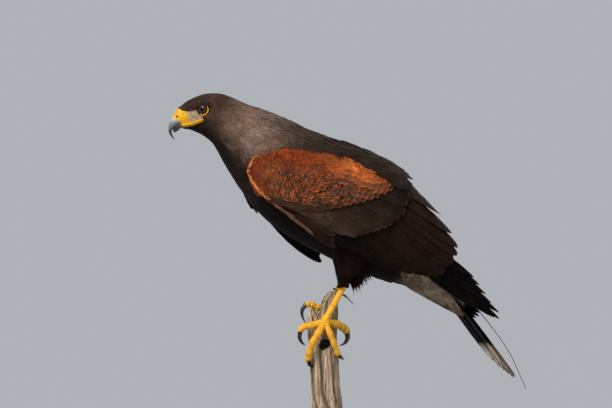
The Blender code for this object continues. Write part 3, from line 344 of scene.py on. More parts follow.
def head_spot(x, z, side):
    """The position and angle on the trunk's surface that show at a place in side view of the head."""
    positions, angles = np.meshgrid(np.linspace(SKULL, FACE_END, 160), np.linspace(0.15, 2.95, 160))
    points = side_view(trunk(positions, angles))
    nearest = np.argmin(np.hypot(points[0] - x, points[2] - z))
    return positions.ravel()[nearest], side * angles.ravel()[nearest]


def side_view(points):
    """Places on the head with its turn taken back: ahead, aside and up."""
    return np.moveaxis(turn_head(points, -1), -1, 0)


def head_direction(direction):
    """A direction turned with the head."""
    pivot = np.array([TURN_PIVOT, 0, 0])
    return turn_head(direction + pivot) - pivot


EYES = {side: head_place(*EYE_PLACE, side, EYE_SINK) for side in (LEFT, RIGHT)}
GAZES = {side: head_direction(unit((-EYE_FORWARD, side, -EYE_DOWN))) for side in (LEFT, RIGHT)}
print("left eye at", EYES[LEFT].round(1), "mm")

# %% [markdown]
# The folded wing lies on a surface whose cross-sections are half ellipses. A place on it is written as
# a length along the wing from the wrist and a height across it in side view. The thigh and the tail's
# coverts are rows of sections again, and the tail is a gently arched board.

# %% The surfaces of the wing, thigh, tail and its coverts
WRIST = {LEFT: (-104.7, 321.5), RIGHT: (-93.5, 317.5)}
WING_SLOPE = {LEFT: math.radians(30), RIGHT: math.radians(31.5)}
# Rows of: along, height of the middle, reach up, reach down, half width of the bird.
WING_SHAPE = [
    (-10, 20, 60, 60, 48), (0, 22, 62, 62, 54), (50, 25, 66, 75, 64), (100, 27, 79, 85, 68),
    (150, 28, 84, 85, 67), (200, 30, 73, 70, 59), (240, 29, 58, 57, 49), (265, 27, 50, 48, 42),
    (285, 24, 43, 40, 36), (320, 20, 30, 30, 26), (360, 14, 20, 20, 18),
]
HAND_DROP, HAND_DROP_END = {LEFT: 0, RIGHT: 9}, 165
TAIL_ROOT, TAIL_SLOPE, TAIL_LENGTH, TAIL_ARCH = (108, 249), math.radians(52), 208, 0.0035
TAIL_COVERTS = [
    (0, 117, 243, 93, 196, 24), (1, 128, 227, 104, 189.5, 23), (2, 141, 211, 122, 180, 21),
    (3, 156, 194, 142, 169.5, 16), (4, 171, 175, 164, 158, 8),
]
# Rows of: position, x, y, z, reach in x, reach in y.
THIGH = [
    (0, 31, 26, 268, 28, 15.5), (1, 27, 27, 242, 26, 16.5), (2, 25, 27, 226, 20, 16),
    (3, 21.5, 24, 210, 12.5, 12), (4, 18, 20, 198, 7.5, 8), (5, 17, 17.5, 190, 5.6, 5.6),
]
THIGH_SHIFT = {LEFT: (0, 0), RIGHT: (8.5, 3)}


def wing(side):
    """The wing's surface on one side, as a function of along, height and lift."""
    wrist, slope = WRIST[side], WING_SLOPE[side]

    def surface(along, height, lift=0.0):
        along, height = np.broadcast_arrays(np.asarray(along, float), np.asarray(height, float))
        middle, up, down, half = columns(WING_SHAPE, along)
        reach = np.where(height >= middle, up, down)
        turn = np.arcsin(np.clip((height - middle) / reach, -0.99, 0.99))
        normal = unit(np.stack([np.sin(turn) / reach, np.cos(turn) / half], axis=-1))
        high = middle + reach * np.sin(turn) + lift * normal[..., 0]
        out = half * np.cos(turn) + lift * normal[..., 1]
        x = wrist[0] + along * math.cos(slope) + high * math.sin(slope)
        z = wrist[1] - along * math.sin(slope) + high * math.cos(slope)
        return np.stack([x, side * out, z], axis=-1)

    return surface


def hand_drop(along, side):
    """How far the far wing's lower edge hangs down near its bend."""
    return HAND_DROP[side] * np.sin(np.pi * np.clip(np.asarray(along, float) / HAND_DROP_END, 0, 1))


def thigh(side):
    """The feathered leg on one side, as a function of position down it, angle and lift."""

    def surface(position, angle, lift=0.0):
        x, y, z, long, wide = columns(THIGH, position)
        x, z = x + THIGH_SHIFT[side][0], z + THIGH_SHIFT[side][1]
        along, aside = (long + lift) * np.cos(angle), side * (y + (wide + lift) * np.sin(angle))
        return np.stack([x + along, aside, z + 0 * along], axis=-1)

    return surface


def coverts(position, angle, lift=0.0):
    """The mass of soft feathers round the tail's root. Angle 0 is the upper side."""
    return egg(TAIL_COVERTS, position, angle, lift)


def tail(along, across, lift=0.0):
    """A point on the tail, with its lift above the upper face."""
    c, s = math.cos(TAIL_SLOPE), math.sin(TAIL_SLOPE)
    below = TAIL_ARCH * np.asarray(across, float) ** 2 - lift
    x = TAIL_ROOT[0] + along * c - below * s
    z = TAIL_ROOT[1] - along * s - below * c
    return np.stack(np.broadcast_arrays(x, across, z), axis=-1)


print("wing spans", WING_SHAPE[-1][0], "mm from the wrist, tail", TAIL_LENGTH, "mm")

# %% [markdown]
# Skin, bill, legs and wood are closed tubes, lofted through rings of points. A tube that bends is built
# round a path: the rings are turned with it step by step, so that they don't twist.

# %% Makers of closed meshes
def make_mesh(name, points, quads, finish=None, smooth_angle=60):
    """A mesh object from points in millimetres and four-sided faces."""
    mesh = bpy.data.meshes.new(name)
    mesh.from_pydata((points * MM).tolist(), [], quads.tolist())
    mesh.shade_smooth()
    mesh.set_sharp_from_angle(angle=math.radians(smooth_angle))
    made = bpy.data.objects.new(name, mesh)
    scene.collection.objects.link(made)
    if finish is not None:
        mesh.materials.append(finish)
    return made


def tube_faces(rings, around):
    """The sides of a tube and its two caps, which close onto a middle point each."""
    i, j = np.meshgrid(np.arange(rings - 1), np.arange(around), indexing="ij")
    k = (j + 1) % around
    sides = np.stack([i * around + j, i * around + k, (i + 1) * around + k, (i + 1) * around + j], -1)
    half = np.arange(0, around, 2)
    base = (rings - 1) * around
    middle = np.full(len(half), rings * around)
    caps = [
        np.stack([middle, (half + 2) % around, half + 1, half], -1),
        np.stack([middle + 1, base + half, base + half + 1, base + (half + 2) % around], -1),
    ]
    return np.concatenate([sides.reshape(-1, 4), *caps])


def store(obj, name, colours):
    """Keeps a colour for each point of a mesh. Without a fourth value each is opaque."""
    layer = obj.data.color_attributes.new(name, "FLOAT_COLOR", "POINT")
    values = np.concatenate([colours, np.ones((len(colours), 4 - colours.shape[1]))], axis=1)
    layer.data.foreach_set("color", values.astype(np.float32).ravel())


def loft(name, rings, finish=None, tones=None, smooth_angle=60):
    """A closed mesh through rings of equally many points, an even number, with a colour each if given."""
    rings = np.asarray(rings, float)
    count, around = rings.shape[:2]
    ends = [rings[0].mean(axis=0), rings[-1].mean(axis=0)]
    points = np.concatenate([rings.reshape(-1, 3), ends])
    quads = tube_faces(count, around)
    a, b, c, d = np.moveaxis(points[quads], 1, 0)
    volume = (a * (np.cross(b, c) + np.cross(c, d))).sum()
    made = make_mesh(name, points, quads[:, ::-1] if volume < 0 else quads, finish, smooth_angle)
    if tones is not None:
        store(made, "web", np.concatenate([tones.reshape(-1, 3), tones[0, :1], tones[-1, :1]]))
    return made


def along_path(path, radii, around, start_up=(0, 0, 1), shape=None):
    """Rings round a path. Shape(turns, share) may change the radius round and along the tube."""
    path = np.asarray(path, float)
    tangents = unit(np.gradient(path, axis=0))
    turns = circle(around)
    up, rings = np.array(start_up, float), []
    for share, middle, tangent, radius in zip(np.linspace(0, 1, len(path)), path, tangents, radii):
        side = unit(np.cross(tangent, up))
        up = unit(np.cross(side, tangent))
        reach = radius * (np.ones(around) if shape is None else shape(turns, share))
        rings.append(middle + np.outer(np.cos(turns) * reach, side) + np.outer(np.sin(turns) * reach, up))
    return np.array(rings)


def refine(path, count):
    """A smooth path of count points through the points of a short one."""
    return smooth([(i, *p) for i, p in enumerate(path)], np.linspace(0, len(path) - 1, count))


def boolean(obj, others, operation):
    """Joins closed pieces to an object or cuts them from it, applies that and removes them."""
    for other in others:
        cut = obj.modifiers.new("cut", "BOOLEAN")
        cut.operation, cut.solver, cut.object = operation, "MANIFOLD", other
        bpy.context.view_layer.objects.active = obj
        bpy.ops.object.modifier_apply(modifier=cut.name)
        bpy.data.objects.remove(other)
    return obj


def dress(piece, slot, *nodes):
    """Sets a finished piece on the frame, in place of the solids that it stands for."""
    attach(piece, "root")
    if nodes:
        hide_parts(*nodes)
    print(piece.name, len(piece.data.polygons), "faces")


print("mesh makers ready")

# %% [markdown]
# A feather is a thin closed vane: a middle line that follows the body, edges that droop a little, and an
# underside that closes it. Thousands are made at once as arrays. Each is laid from a root sunk near the
# skin to a tip that rides over the feathers behind it, so the rows tile as real ones do. Its two colours,
# of the web and of its rim, are stored on its points. One UV map runs across and along each vane, for the
# shaft and barbs, and OFBake holds a small patch for each one at its root's place on the unrolled skin.

# %% Makers of feathers
PATCH = 0.003
# Rows of: share of the length, share of the full width.
VANE_SHAPE = ((0, 0.35), (0.25, 0.85), (0.55, 1), (0.8, 0.8), (0.93, 0.5), (1, 0.22))


def lay(surface, u, v, length, turn, shares, lifts):
    """Middle lines on a surface from roots (u, v), each with a length and a turn from the u direction."""
    step = 0.01
    here = surface(u, v, 0.0)
    along, aside = (surface(u + step, v, 0.0) - here) / step, (surface(u, v + step, 0.0) - here) / step
    du = length * np.cos(turn) / np.linalg.norm(along, axis=-1)
    dv = length * np.sin(turn) / np.linalg.norm(aside, axis=-1)
    us, vs = u[:, None] + du[:, None] * shares, v[:, None] + dv[:, None] * shares
    return on_surface(surface, us, vs, lifts)


def on_surface(surface, us, vs, lifts):
    """Middle lines and outward directions from places on a surface."""
    lifts = np.broadcast_to(lifts, us.shape)
    line = surface(us, vs, lifts)
    return line, unit(surface(us, vs, lifts + 0.5) - line)


def rising(shares, root, middle, tip):
    """Lifts off a surface at shares of a feather's length."""
    return np.interp(shares, (0, 0.5, 1), (root, middle, tip))


def vanes(line, out, width, shares, roots, web, rim, edge, *, shape=VANE_SHAPE, columns=3, thick=0.2,
          camber=0.01, tilt=0.0, ragged=0.0):
    """Arrays for a set of feathers, with stations at shares of their length."""
    count, stations = line.shape[:2]
    q = np.linspace(-1, 1, columns)
    tangent = unit(np.gradient(line, axis=1))
    aside = unit(np.cross(out, tangent))
    out = unit(np.cross(tangent, aside))
    outline = np.interp(shares, *np.transpose(shape))[:, None]
    half = np.asarray(width, float).reshape(-1, 1, 1) / 2 * outline * q
    drop = camber * half**2 + np.reshape(tilt, (-1, 1, 1)) * half
    top = line[:, :, None] + aside[:, :, None] * half[..., None] - out[:, :, None] * drop[..., None]
    if ragged:
        slip = chance.uniform(-1, 1, (count, columns)) * ragged
        top[:, -1] += tangent[:, -1, None] * slip[..., None]
        top[:, -2] += tangent[:, -2, None] * slip[..., None] * 0.4
    under = line - out * thick
    points = np.concatenate([top, under[:, :, None]], axis=2)
    passed = np.linalg.norm(np.diff(line, axis=1), axis=-1).cumsum(axis=1)
    length = passed[:, -1:]
    v = np.concatenate([np.zeros((count, 1)), passed / length], axis=1)
    u = np.append((q + 1) / 2, 0.5)
    vane_uv = np.stack(np.broadcast_arrays(u[None, None, :], v[:, :, None]), axis=-1)
    bake_uv = np.clip(roots, 0.01, 0.99)[:, None, None] + (vane_uv - 0.5) * PATCH
    row = columns + 1
    strips = [(j, row + j, row + j + 1, j + 1) for j in range(columns - 1)]
    strips += [(0, columns, row + columns, row), (columns, columns - 1, row + columns - 1, row + columns)]
    sides = (np.array(strips)[None] + np.arange(stations - 1)[:, None, None] * row).reshape(-1, 4)
    last = (stations - 1) * row
    caps = [(j, j + 1, j + 2, columns) for j in range(0, columns - 1, 2)]
    ends = caps + [tuple(last + i for i in reversed(cap)) for cap in caps]
    faces = np.concatenate([sides, ends])
    per = stations * row

    def spread(values, size):
        values = np.asarray(values, float)
        if values.ndim < 3:
            values = np.broadcast_to(values.reshape(-1, 1, size), (count, 1, size))
        values = np.broadcast_to(values, (count, stations, size))
        return np.repeat(values.reshape(-1, size), row, axis=0)

    return {
        "points": points.reshape(-1, 3),
        "faces": (faces[None] + np.arange(count)[:, None, None] * per).reshape(-1, 4),
        "vane": vane_uv.reshape(-1, 2),
        "OFBake": bake_uv.reshape(-1, 2),
        "web": spread(web, 3),
        "rim": np.concatenate([spread(rim, 3), spread(edge, 1)], axis=1),
        "long": spread(length, 1)[:, 0],
    }


def coat(name, sets, finish):
    """One object from several sets of feathers."""
    starts = np.cumsum([0] + [len(s["points"]) for s in sets[:-1]])
    quads = np.concatenate([s["faces"] + start for s, start in zip(sets, starts)])
    obj = make_mesh(name, np.concatenate([s["points"] for s in sets]), quads, finish, 75)
    mesh, corner = obj.data, quads.ravel()
    for layer in ("OFBake", "vane"):
        places = np.concatenate([s[layer] for s in sets]).astype(np.float32)
        mesh.uv_layers.new(name=layer).data.foreach_set("uv", places[corner].ravel())
    for layer in ("web", "rim"):
        store(obj, layer, np.concatenate([s[layer] for s in sets]))
    lengths = np.concatenate([s["long"] for s in sets]).astype(np.float32)
    mesh.attributes.new("long", "FLOAT", "POINT").data.foreach_set("value", lengths)
    return obj


print("feather makers ready")

# %% [markdown]
# Plumage is keratin: matt, a little silky, and never one flat colour. Each feather takes its web and rim
# colours from its points. The shaft is a thin line down the middle. The barbs slant away from it as fine
# streaks and ridges, 0.7 mm apart, coarser than real barbs so that they show, and they fray the rim's
# edge. Broad noise makes worn and fresh patches, and a weak sheen gives the soft light of a real coat.

# %% Plumage finishes
def plumage(name, roughness, gloss, sheen, on_vanes=True):
    """A plumage material. On vanes it draws rim, barbs and shaft, and elsewhere only soft down."""
    made, tree, place = start_material(
        name, roughness, Sheen_Weight=sheen, Sheen_Roughness=0.5, Specular_IOR_Level=gloss
    )
    colour = node(tree, "Attribute", {}, out="Color", attribute_name="web")
    strand = height = node(tree, "TexNoise", {"Vector": place, "Scale": 420, "Detail": 2})
    if on_vanes:
        # Where on the vane: across is 0 at the shaft and 1 at the sides, beyond is 1 at the tip.
        rim = node(tree, "Attribute", {}, out="Color", attribute_name="rim")
        rim_width = node(tree, "Attribute", {}, out="Alpha", attribute_name="rim")
        long = node(tree, "Attribute", {}, out="Fac", attribute_name="long")
        uv = node(tree, "UVMap", {}, uv_map="vane")
        u, v = (node(tree, "SeparateXYZ", (uv,), out=i) for i in (0, 1))
        across = node(tree, "Math", (u, 2.0, -1.0), operation="MULTIPLY_ADD")
        across = node(tree, "Math", (across,), operation="ABSOLUTE")
        beyond = node(tree, "Math", (v, 1.25, -0.25), operation="MULTIPLY_ADD")
        beyond = node(tree, "Math", (beyond, 0.0), operation="MAXIMUM")
        side = node(tree, "Math", (across, 1.6), operation="POWER")
        tip = node(tree, "Math", (beyond, 3.0), operation="POWER")
        edge = node(tree, "Math", (side, tip), operation="MAXIMUM")
        # The barbs slant from the shaft. Noise drawn out along them makes strands that fray the rim.
        along = node(tree, "Math", (v, long), operation="MULTIPLY")
        slant = node(tree, "Math", (across, -4.0, along), operation="MULTIPLY_ADD")
        beside = node(tree, "Math", (u, 3.0), operation="MULTIPLY")
        barbs = node(tree, "CombineXYZ", (slant, beside, long))
        strand = node(tree, "TexNoise", {"Vector": barbs, "Scale": 1.6, "Detail": 2})
        edge = node(tree, "Math", (edge, 0.12), operation="SUBTRACT")
        edge = node(tree, "Math", (strand, 0.24, edge), operation="MULTIPLY_ADD")
        inner = node(tree, "Math", (1.0, rim_width), operation="SUBTRACT")
        outer = node(tree, "Math", (rim_width, -0.15, 1.0), operation="MULTIPLY_ADD")
        share = node(tree, "MapRange", (edge, inner, outer), **STEP)
        colour = node(tree, "Mix", {0: share, 6: colour, 7: rim}, **COLOURS)
        shaft = node(tree, "MapRange", (across, 0.03, 0.1, 0.4, 0.0), **STEP)
        colour = node(tree, "Mix", {0: shaft, 6: colour, 7: paint("140e0c")}, **COLOURS)
        wave = node(tree, "Math", (slant, 2 * math.pi / BARB_STEP), operation="MULTIPLY")
        wave = node(tree, "Math", (wave,), operation="SINE")
        height = node(tree, "Math", (wave, 0.12, strand), operation="MULTIPLY_ADD")
    # Broad and fine patches of wear, and the strands, make each colour lighter or darker.
    broad = node(tree, "TexNoise", {"Vector": place, "Scale": 55, "Detail": 3})
    fine = node(tree, "TexNoise", {"Vector": place, "Scale": 260, "Detail": 2})
    patches = node(tree, "Math", (fine, 0.5, broad), operation="MULTIPLY_ADD")
    patches = node(tree, "Math", (strand, 0.45, patches), operation="MULTIPLY_ADD")
    value = node(tree, "MapRange", (patches, 0.6, 1.38, 0.64, 1.4), **STEP)
    worn = node(tree, "HueSaturation", {"Color": colour, "Value": value})
    end_material(tree, worn, height, 0.16, 0.5)
    return made


BARB_STEP = 0.7
# Body feathers: matt and soft, so that the coat reads as deep and takes no hard highlight.
COAT_FINISH = plumage("soft matt feather", 0.8, 0.04, 0.02)
# Wing and tail feathers: smoother and firmer, with a trace more shine along their webs.
FLIGHT_FINISH = plumage("firm flight feather", 0.66, 0.03, 0.0)
# Down on the skin: dull and blurred, so that a gap between feathers shows soft shade.
SKIN_FINISH = plumage("down over skin", 0.9, 0.08, 0.04, on_vanes=False)
print("plumage finishes:", COAT_FINISH.name, FLIGHT_FINISH.name, SKIN_FINISH.name)

# %% [markdown]
# The colours of a zone are asked from its place, so that skin and feathers match. A Harris's hawk is
# chocolate brown, with a rusty shoulder on each wing and rusty thighs. Here the throat, breast, belly and
# thighs are painted nearly black, as painted shade on the underside. The rump, the tail's root and the
# undertail are white, and the tail is black with a white band at its tip.

# %% Colours of the trunk, neck and head
# Rows of: position, colour of the back, colour of the belly.
# The belly column is darker than the hawk's own brown, nearly black at the throat and breast, as painted
# shade on the underside.
TRUNK_COLOURS = [
    (0, "b3a593", "9c8e7b"), (0.7, "9c8c79", "6a5a4a"), (1.3, "33251e", "17100d"), (3, "2a1e19", "0e0a08"),
    (5, "32261f", "0f0b09"), (6.5, "33271f", "120d0b"), (7.5, "3e312a", "1d1613"), (9, "70605a", "1f1916"),
    (10.5, "66544c", "0d0a09"), (12, "3d302b", "17110f"), (14, "372a26", "201814"), (16, "3a2c26", "2f241f"),
]


def trunk_colour(position, angle):
    """Colours of the body's feathers at places on it, with the underside darkened as painted shade."""
    positions, *codes = zip(*TRUNK_COLOURS)
    channels = [np.transpose([paint(code) for code in side]) for side in codes]
    back, belly = (np.stack([np.interp(position, positions, c) for c in side], -1) for side in channels)
    return mix(back, belly, ramp(0.08, 0.88, -np.cos(angle)))


def vary(colours, amount):
    """Each colour made a little lighter or darker by chance."""
    colours = np.asarray(colours, float)
    return colours * np.exp(chance.normal(0, amount, colours.shape[:-1]))[..., None]


print("throat colour:", trunk_colour(10, math.pi).round(3))

# %% [markdown]
# The skin is one closed surface for the whole bird. Lofts of the trunk, the two folded wings, the thighs
# and the tail's root are sunk by the depth of the coat that grows over them and joined into one, so no
# seam can show between two parts. It is mostly hidden, and fills every gap between feathers with down.

# %% The skin under the feathers
COAT_DEPTH = [(0, 3.0), (6, 3.0), (8, 2.6), (10, 2.0), (12, 1.3), (14, 0.8), (16, 0.4)]
WING_OUTLINE = [
    (-4.5, 9, 18), (5, -4, 37), (25, -13, 58), (50, -17.5, 66), (75, -21, 84), (105, -20, 100),
    (126, -14, 104), (142, -4, 106), (165, -2, 108), (200, 4, 98), (232, 10, 82),
]
WING_THICK = [(-5, 8), (40, 15), (150, 18), (200, 17), (232, 14)]


def coat_depth(position):
    """How deep the coat is over the skin, in millimetres."""
    return smooth(COAT_DEPTH, position)[..., 0]


def ring_loft(name, surface, positions, angles, lift):
    """A closed loft over a surface of positions and angles, sunk or lifted evenly."""
    us, vs = np.meshgrid(positions, angles, indexing="ij")
    lifts = lift(us) if callable(lift) else lift
    return loft(name, surface(us, vs, lifts), SKIN_FINISH)


def wing_body(side):
    """The closed mass of one folded wing, under its feathers."""
    surface = wing(side)
    rings = []
    for along in np.linspace(-3.5, 231, 60):
        low, high = smooth(WING_OUTLINE, along)
        low = low + 1.5 - hand_drop(along, side)
        thick = smooth(WING_THICK, along)[0]
        heights = np.linspace(low, high - 1.5, 25)
        behind = ramp(0, 26, along - 62 - 1.35 * np.maximum(heights, 0))
        rim = 0.25 * thick * np.linspace(-1, 1, 25) ** 6
        outer = surface(along, heights, -(2.2 + 5.4 * behind + rim))
        inner = surface(along, heights[[24, 18, 12, 6, 0]], -thick)
        rings.append(np.concatenate([outer, inner]))
    return loft("wing body", rings, SKIN_FINISH)


turns = circle(96)
positions = np.concatenate([np.linspace(0, 10.8, 90), np.linspace(11, FACE_END, 70)])
skin = ring_loft("skin", trunk, positions, turns, lambda p: -coat_depth(p))
legs = [ring_loft("leg", thigh(side), np.linspace(0, 4.9, 24), turns[::3], -1.6) for side in (LEFT, RIGHT)]
tail_root = ring_loft("tail root", coverts, np.linspace(0, 3.2, 16), turns[::3], -2.5)
core = [
    np.concatenate([
        tail(along, np.linspace(-half, half, 9), -0.8),
        tail(along, np.linspace(0.45 * half, -0.45 * half, 9), -thick),
    ])
    for along, half, thick in smooth(
        [(0, 34, 12, 16), (1, 60, 13, 13), (2, 85, 12, 8), (3, 98, 10, 5)], np.linspace(0, 3, 12)
    )
]
tail_core = loft("tail core", core, SKIN_FINISH)
boolean(skin, [wing_body(LEFT), wing_body(RIGHT), *legs, tail_root, tail_core], "UNION")
print("skin:", len(skin.data.polygons), "faces")

# %% [markdown]
# Body feathers grow in rows, like tiles. Each row runs round the body, the next stands half a step over,
# and they shrink from the back to the face: 24 mm on the flank, 3 mm at the bill. The rows stop where a
# wing lies over the body, and leave the eye, the bare skin before it and the mouth free.

# %% The feathers of the trunk, neck and head
# Rows of: position, length, width, step along, step round.
COAT_ROWS = [
    (0, 26, 11, 5.6, 4.8), (6, 24, 10, 5.0, 4.4), (8, 19.5, 6.6, 3.9, 3.2), (10, 15.5, 4.6, 2.9, 2.3),
    (12, 9.5, 3.1, 2.0, 1.6), (13, 7.4, 2.3, 1.6, 1.3), (15, 4.8, 1.7, 1.25, 1.05), (16, 3.4, 1.5, 1.1, 1.0),
]
# Stations along a body feather, as shares of its length.
BODY_SHARES = np.array([0, 0.25, 0.5, 0.72, 0.9, 1.0])


def unrolled(angle, along):
    """Places for OFBake, with the body's round taken once across."""
    return np.stack([np.mod(angle / (2 * np.pi), 1), along], axis=1)


def rows_round(surface, first, last, size):
    """Places in staggered rows round a body, from one position to another."""
    angles = np.linspace(0, 2 * np.pi, 61)
    places, position, row = [], first, 0
    while position < last:
        _, _, step, beside = smooth(size, position)
        ring = surface(position, angles)
        count = int(np.linalg.norm(np.diff(ring, axis=0), axis=1).sum() / beside)
        around = (np.arange(count) + 0.5 * (row % 2)) * 2 * np.pi / count
        places.append(np.stack([np.full(count, position), around], axis=1))
        ahead = np.linalg.norm(surface(position + 0.01, angles) - ring, axis=1).mean() / 0.01
        position += step / ahead
        row += 1
    return np.concatenate(places)


def wing_coordinates(points, side):
    """Where points lie on the wing in side view: along and height."""
    (wx, wz), slope = WRIST[side], WING_SLOPE[side]
    x, z = points[..., 0] - wx, points[..., 2] - wz
    return x * math.cos(slope) - z * math.sin(slope), x * math.sin(slope) + z * math.cos(slope)


def under_wing(points):
    """Which points on the trunk are covered by a folded wing."""
    hidden = np.zeros(points.shape[:-1], bool)
    for side in (LEFT, RIGHT):
        along, height = wing_coordinates(points, side)
        low, high = columns(WING_OUTLINE, along)
        inside = (along > 6) & (along < 220) & (height > low + 10) & (height < high - 16)
        hidden |= inside & (points[..., 1] * side > 33)
    return hidden


MOUTH_LINE = [
    (MOUTH_CORNER[0] + (MOUTH_FRONT[0] - MOUTH_CORNER[0]) * t,
     MOUTH_CORNER[1] + (MOUTH_FRONT[1] - MOUTH_CORNER[1]) * t - MOUTH_SAG * math.sin(math.pi * t))
    for t in np.linspace(0, 1, 9)
]
# The bare skin before the eye, in side view: its outline from the cere round to the eye and the mouth.
LORES = [
    (-184, 400.5), (-178, 401), (-172.7, 399.5), (-168, 398.5), (-162, 399), (-157, 400.5), (-153.5, 401),
    (-152.5, 397), (-150, 393), (-149, 390.5), (-153, 387), (-163, 383), (-182, 380),
]


def inside_outline(x, z, outline):
    """Which places lie inside a closed outline."""
    inside = np.zeros(np.shape(x), bool)
    for (ax, az), (bx, bz) in zip(outline, [*outline[1:], outline[0]]):
        crosses = (az > z) != (bz > z)
        inside ^= crosses & (x < ax + (z - az) * (bx - ax) / ((bz - az) or 1e-9))
    return inside


def mouth_distance(x, z):
    """How far places in side view are from the line of the mouth."""
    return np.min([to_line(x, z, a, b)[0] for a, b in zip(MOUTH_LINE, MOUTH_LINE[1:])], axis=0)


def bare_face(points):
    """Which places on the head carry no feathers: eye, lores and mouth."""
    x, y, z = side_view(points)
    eye = np.hypot(x - EYE_PLACE[0] + 0.6, z - EYE_PLACE[1]) < 7.4
    return (eye | inside_outline(x, z, LORES) | (mouth_distance(x, z) < 1.2)) & (np.abs(y) > 4)


roots = rows_round(trunk, 0.35, FACE_END - 0.15, COAT_ROWS)
roots += chance.normal(0, 1, roots.shape) * (0.025, 0.014)
places = trunk(roots[:, 0], roots[:, 1])
keep = ~under_wing(places) & ~((roots[:, 0] > SKULL) & bare_face(places))
roots = roots[keep]
length, width, _, _ = columns(COAT_ROWS, roots[:, 0])
length = length * chance.uniform(0.82, 1.12, len(roots))
shares = BODY_SHARES
depth = coat_depth(roots[:, 0])[:, None]
lifts = depth * rising(shares, -1.0, -0.36, -0.14)
lifts = lifts + chance.normal(0, 0.04, (len(roots), 1)) * depth * (0.4 + shares)
lifts = lifts - 0.2 * ramp(10.5, 12, roots[:, :1])
heading = np.pi + chance.normal(0, 0.12, len(roots))
line, out = lay(trunk, roots[:, 0], roots[:, 1], length, heading, shares, lifts)
web = vary(trunk_colour(roots[:, 0], roots[:, 1]), 0.12)
rim = vary(web * 1.16, 0.06)
patches = unrolled(roots[:, 1], roots[:, 0] / FACE_END)
below = np.cos(roots[:, 1]) < 0
NECK_COAT, HEAD_COAT = 8, 11.3
# Rows of: name, the feathers in it, the solid it stands for, whether they are large.
PARTS = [
    ("coat_back", (roots[:, 0] < NECK_COAT) & ~below, "torso", True),
    ("coat_belly", (roots[:, 0] < NECK_COAT) & below, "torso", True),
    ("coat_neck", (roots[:, 0] >= NECK_COAT) & (roots[:, 0] < HEAD_COAT), "neck", False),
    ("coat_head", roots[:, 0] >= HEAD_COAT, "head", False),
]
for name, part, replaced, large in PARTS:
    feathers = vanes(
        line[part], out[part], width[part], shares, patches[part], web[part], rim[part], 0.3,
        columns=5 if large else 3, camber=0.02, thick=0.1 if large else 0.06,
        ragged=1.8 if large else 1.0,
    )
    dress(coat(name, [feathers], COAT_FINISH), "body_feather", replaced)
print("feathers on the body:", len(roots))

# %% [markdown]
# A folded wing shows its coverts above and its long feathers below. The small coverts of the shoulder
# are rusty, and cover the wrist like scales. Their lie swings from along the wing to across it, so it is
# kept as a few headings measured at places on the wing, and each feather blends those nearest to it.
# Lower down they grow a grey centre inside a rusty rim. All are laid on the wing's own surface.

# %% The lie and the zones of the wing
# Rows of: along, height, heading in degrees, where a right angle points up and across the wing.
LIE = [
    (22, 2, 20), (37, -2, 27), (44, 18, 16), (77, 25, -28), (87, 34, -35), (111, 42, -26), (126, 48, -20),
    (86, 52, -47), (115, 75, -54), (126, 76, -33), (130, 83, -14), (103, 12, -25), (130, 32, -25),
    (144, 50, -15), (39, -13, -6), (6, 17, 4), (26, 44, 13), (57, 63, -1), (88, 78, -9), (48, 79, 15),
    (90, 89, 7), (150, 95, 4), (150, 75, -4),
]
# The upper and lower bounds of the rusty shoulder, in rows of along and height.
RUST_TOP = np.transpose([
    (-5, 10), (-3, 21), (9, 39), (20, 55), (42, 62), (74, 77), (102, 87), (120, 86), (140, 81), (155, 78),
])
RUST_LOW = np.transpose([
    (-5, 8), (-1, 0), (11, -8), (27, -15), (49, -4), (81, 6), (91, 16), (104, 23), (120, 32), (136, 47),
    (150, 68), (155, 77),
])


def heading_on_wing(along, height):
    """The lie of the coat at places on the wing, in radians."""
    at = np.array(LIE, float)
    near = 1 / (np.square(along[:, None] - at[:, 0]) + np.square(height[:, None] - at[:, 1]) + 40) ** 1.5
    x = (near * np.cos(np.radians(at[:, 2]))).sum(axis=1)
    y = (near * np.sin(np.radians(at[:, 2]))).sum(axis=1)
    return np.arctan2(y, x)


def wing_unrolled(along, height):
    """Places for OFBake on a wing, which is laid out flat."""
    return np.stack([0.05 + (along + 15) / 430, 0.5 + height / 260], axis=-1)


def slope_line(along, height, turn, length, shares):
    """Places along feathers on the wing, from root to tip, as along and height."""
    us = along[:, None] + (length * np.cos(turn))[:, None] * shares
    vs = height[:, None] + (length * np.sin(turn))[:, None] * shares
    return us, vs


def staggered(low, high, step):
    """Places on a staggered grid between two rows of bounds, with a step that may grow with along."""
    places, along, column = [], low[0][0], 0
    while along < low[0][-1]:
        pitch = step(along)
        bottom, top = np.interp(along, *low), np.interp(along, *high)
        heights = np.arange(bottom + pitch * 0.5 * (column % 2), top, pitch)
        places.append(np.stack([np.full(len(heights), along), heights], axis=1))
        along += pitch * 0.86
        column += 1
    places = np.concatenate(places)
    return places + chance.normal(0, 0.1, places.shape) * step(places[:, 0])[:, None]


print("wing headings:", len(LIE))

# %% [markdown]
# The small coverts are what a hawk's shoulder is known by: some six hundred short rounded feathers on
# each wing, rust red above and grey inside a rusty rim below. Where the sun strikes the bend they are
# painted brighter, as a painted highlight. They are set on a staggered grid that widens away from the
# wrist. A thin line of paler feathers edges the wrist and the front of the wing. The far wing's lower part
# lies in shade and is painted dark, as painted shade.

# %% The small rusty coverts of the shoulder
COVERT_SHAPE = ((0, 0.35), (0.3, 0.85), (0.6, 1), (0.85, 0.8), (1, 0.35))
FRONT_LINE = [
    (1.5, 27), (-3.2, 19), (-3.4, 9), (-0.5, 0), (10.8, -7.5), (26.6, -13.6), (58.5, -18.8), (96, -24),
]


def toned(count, codes, share=None):
    """Colours for a set of feathers, blended between two by a share, or by chance."""
    share = chance.uniform(0, 1, count) if share is None else share
    return mix(paint(codes[0]), paint(codes[1]), share)


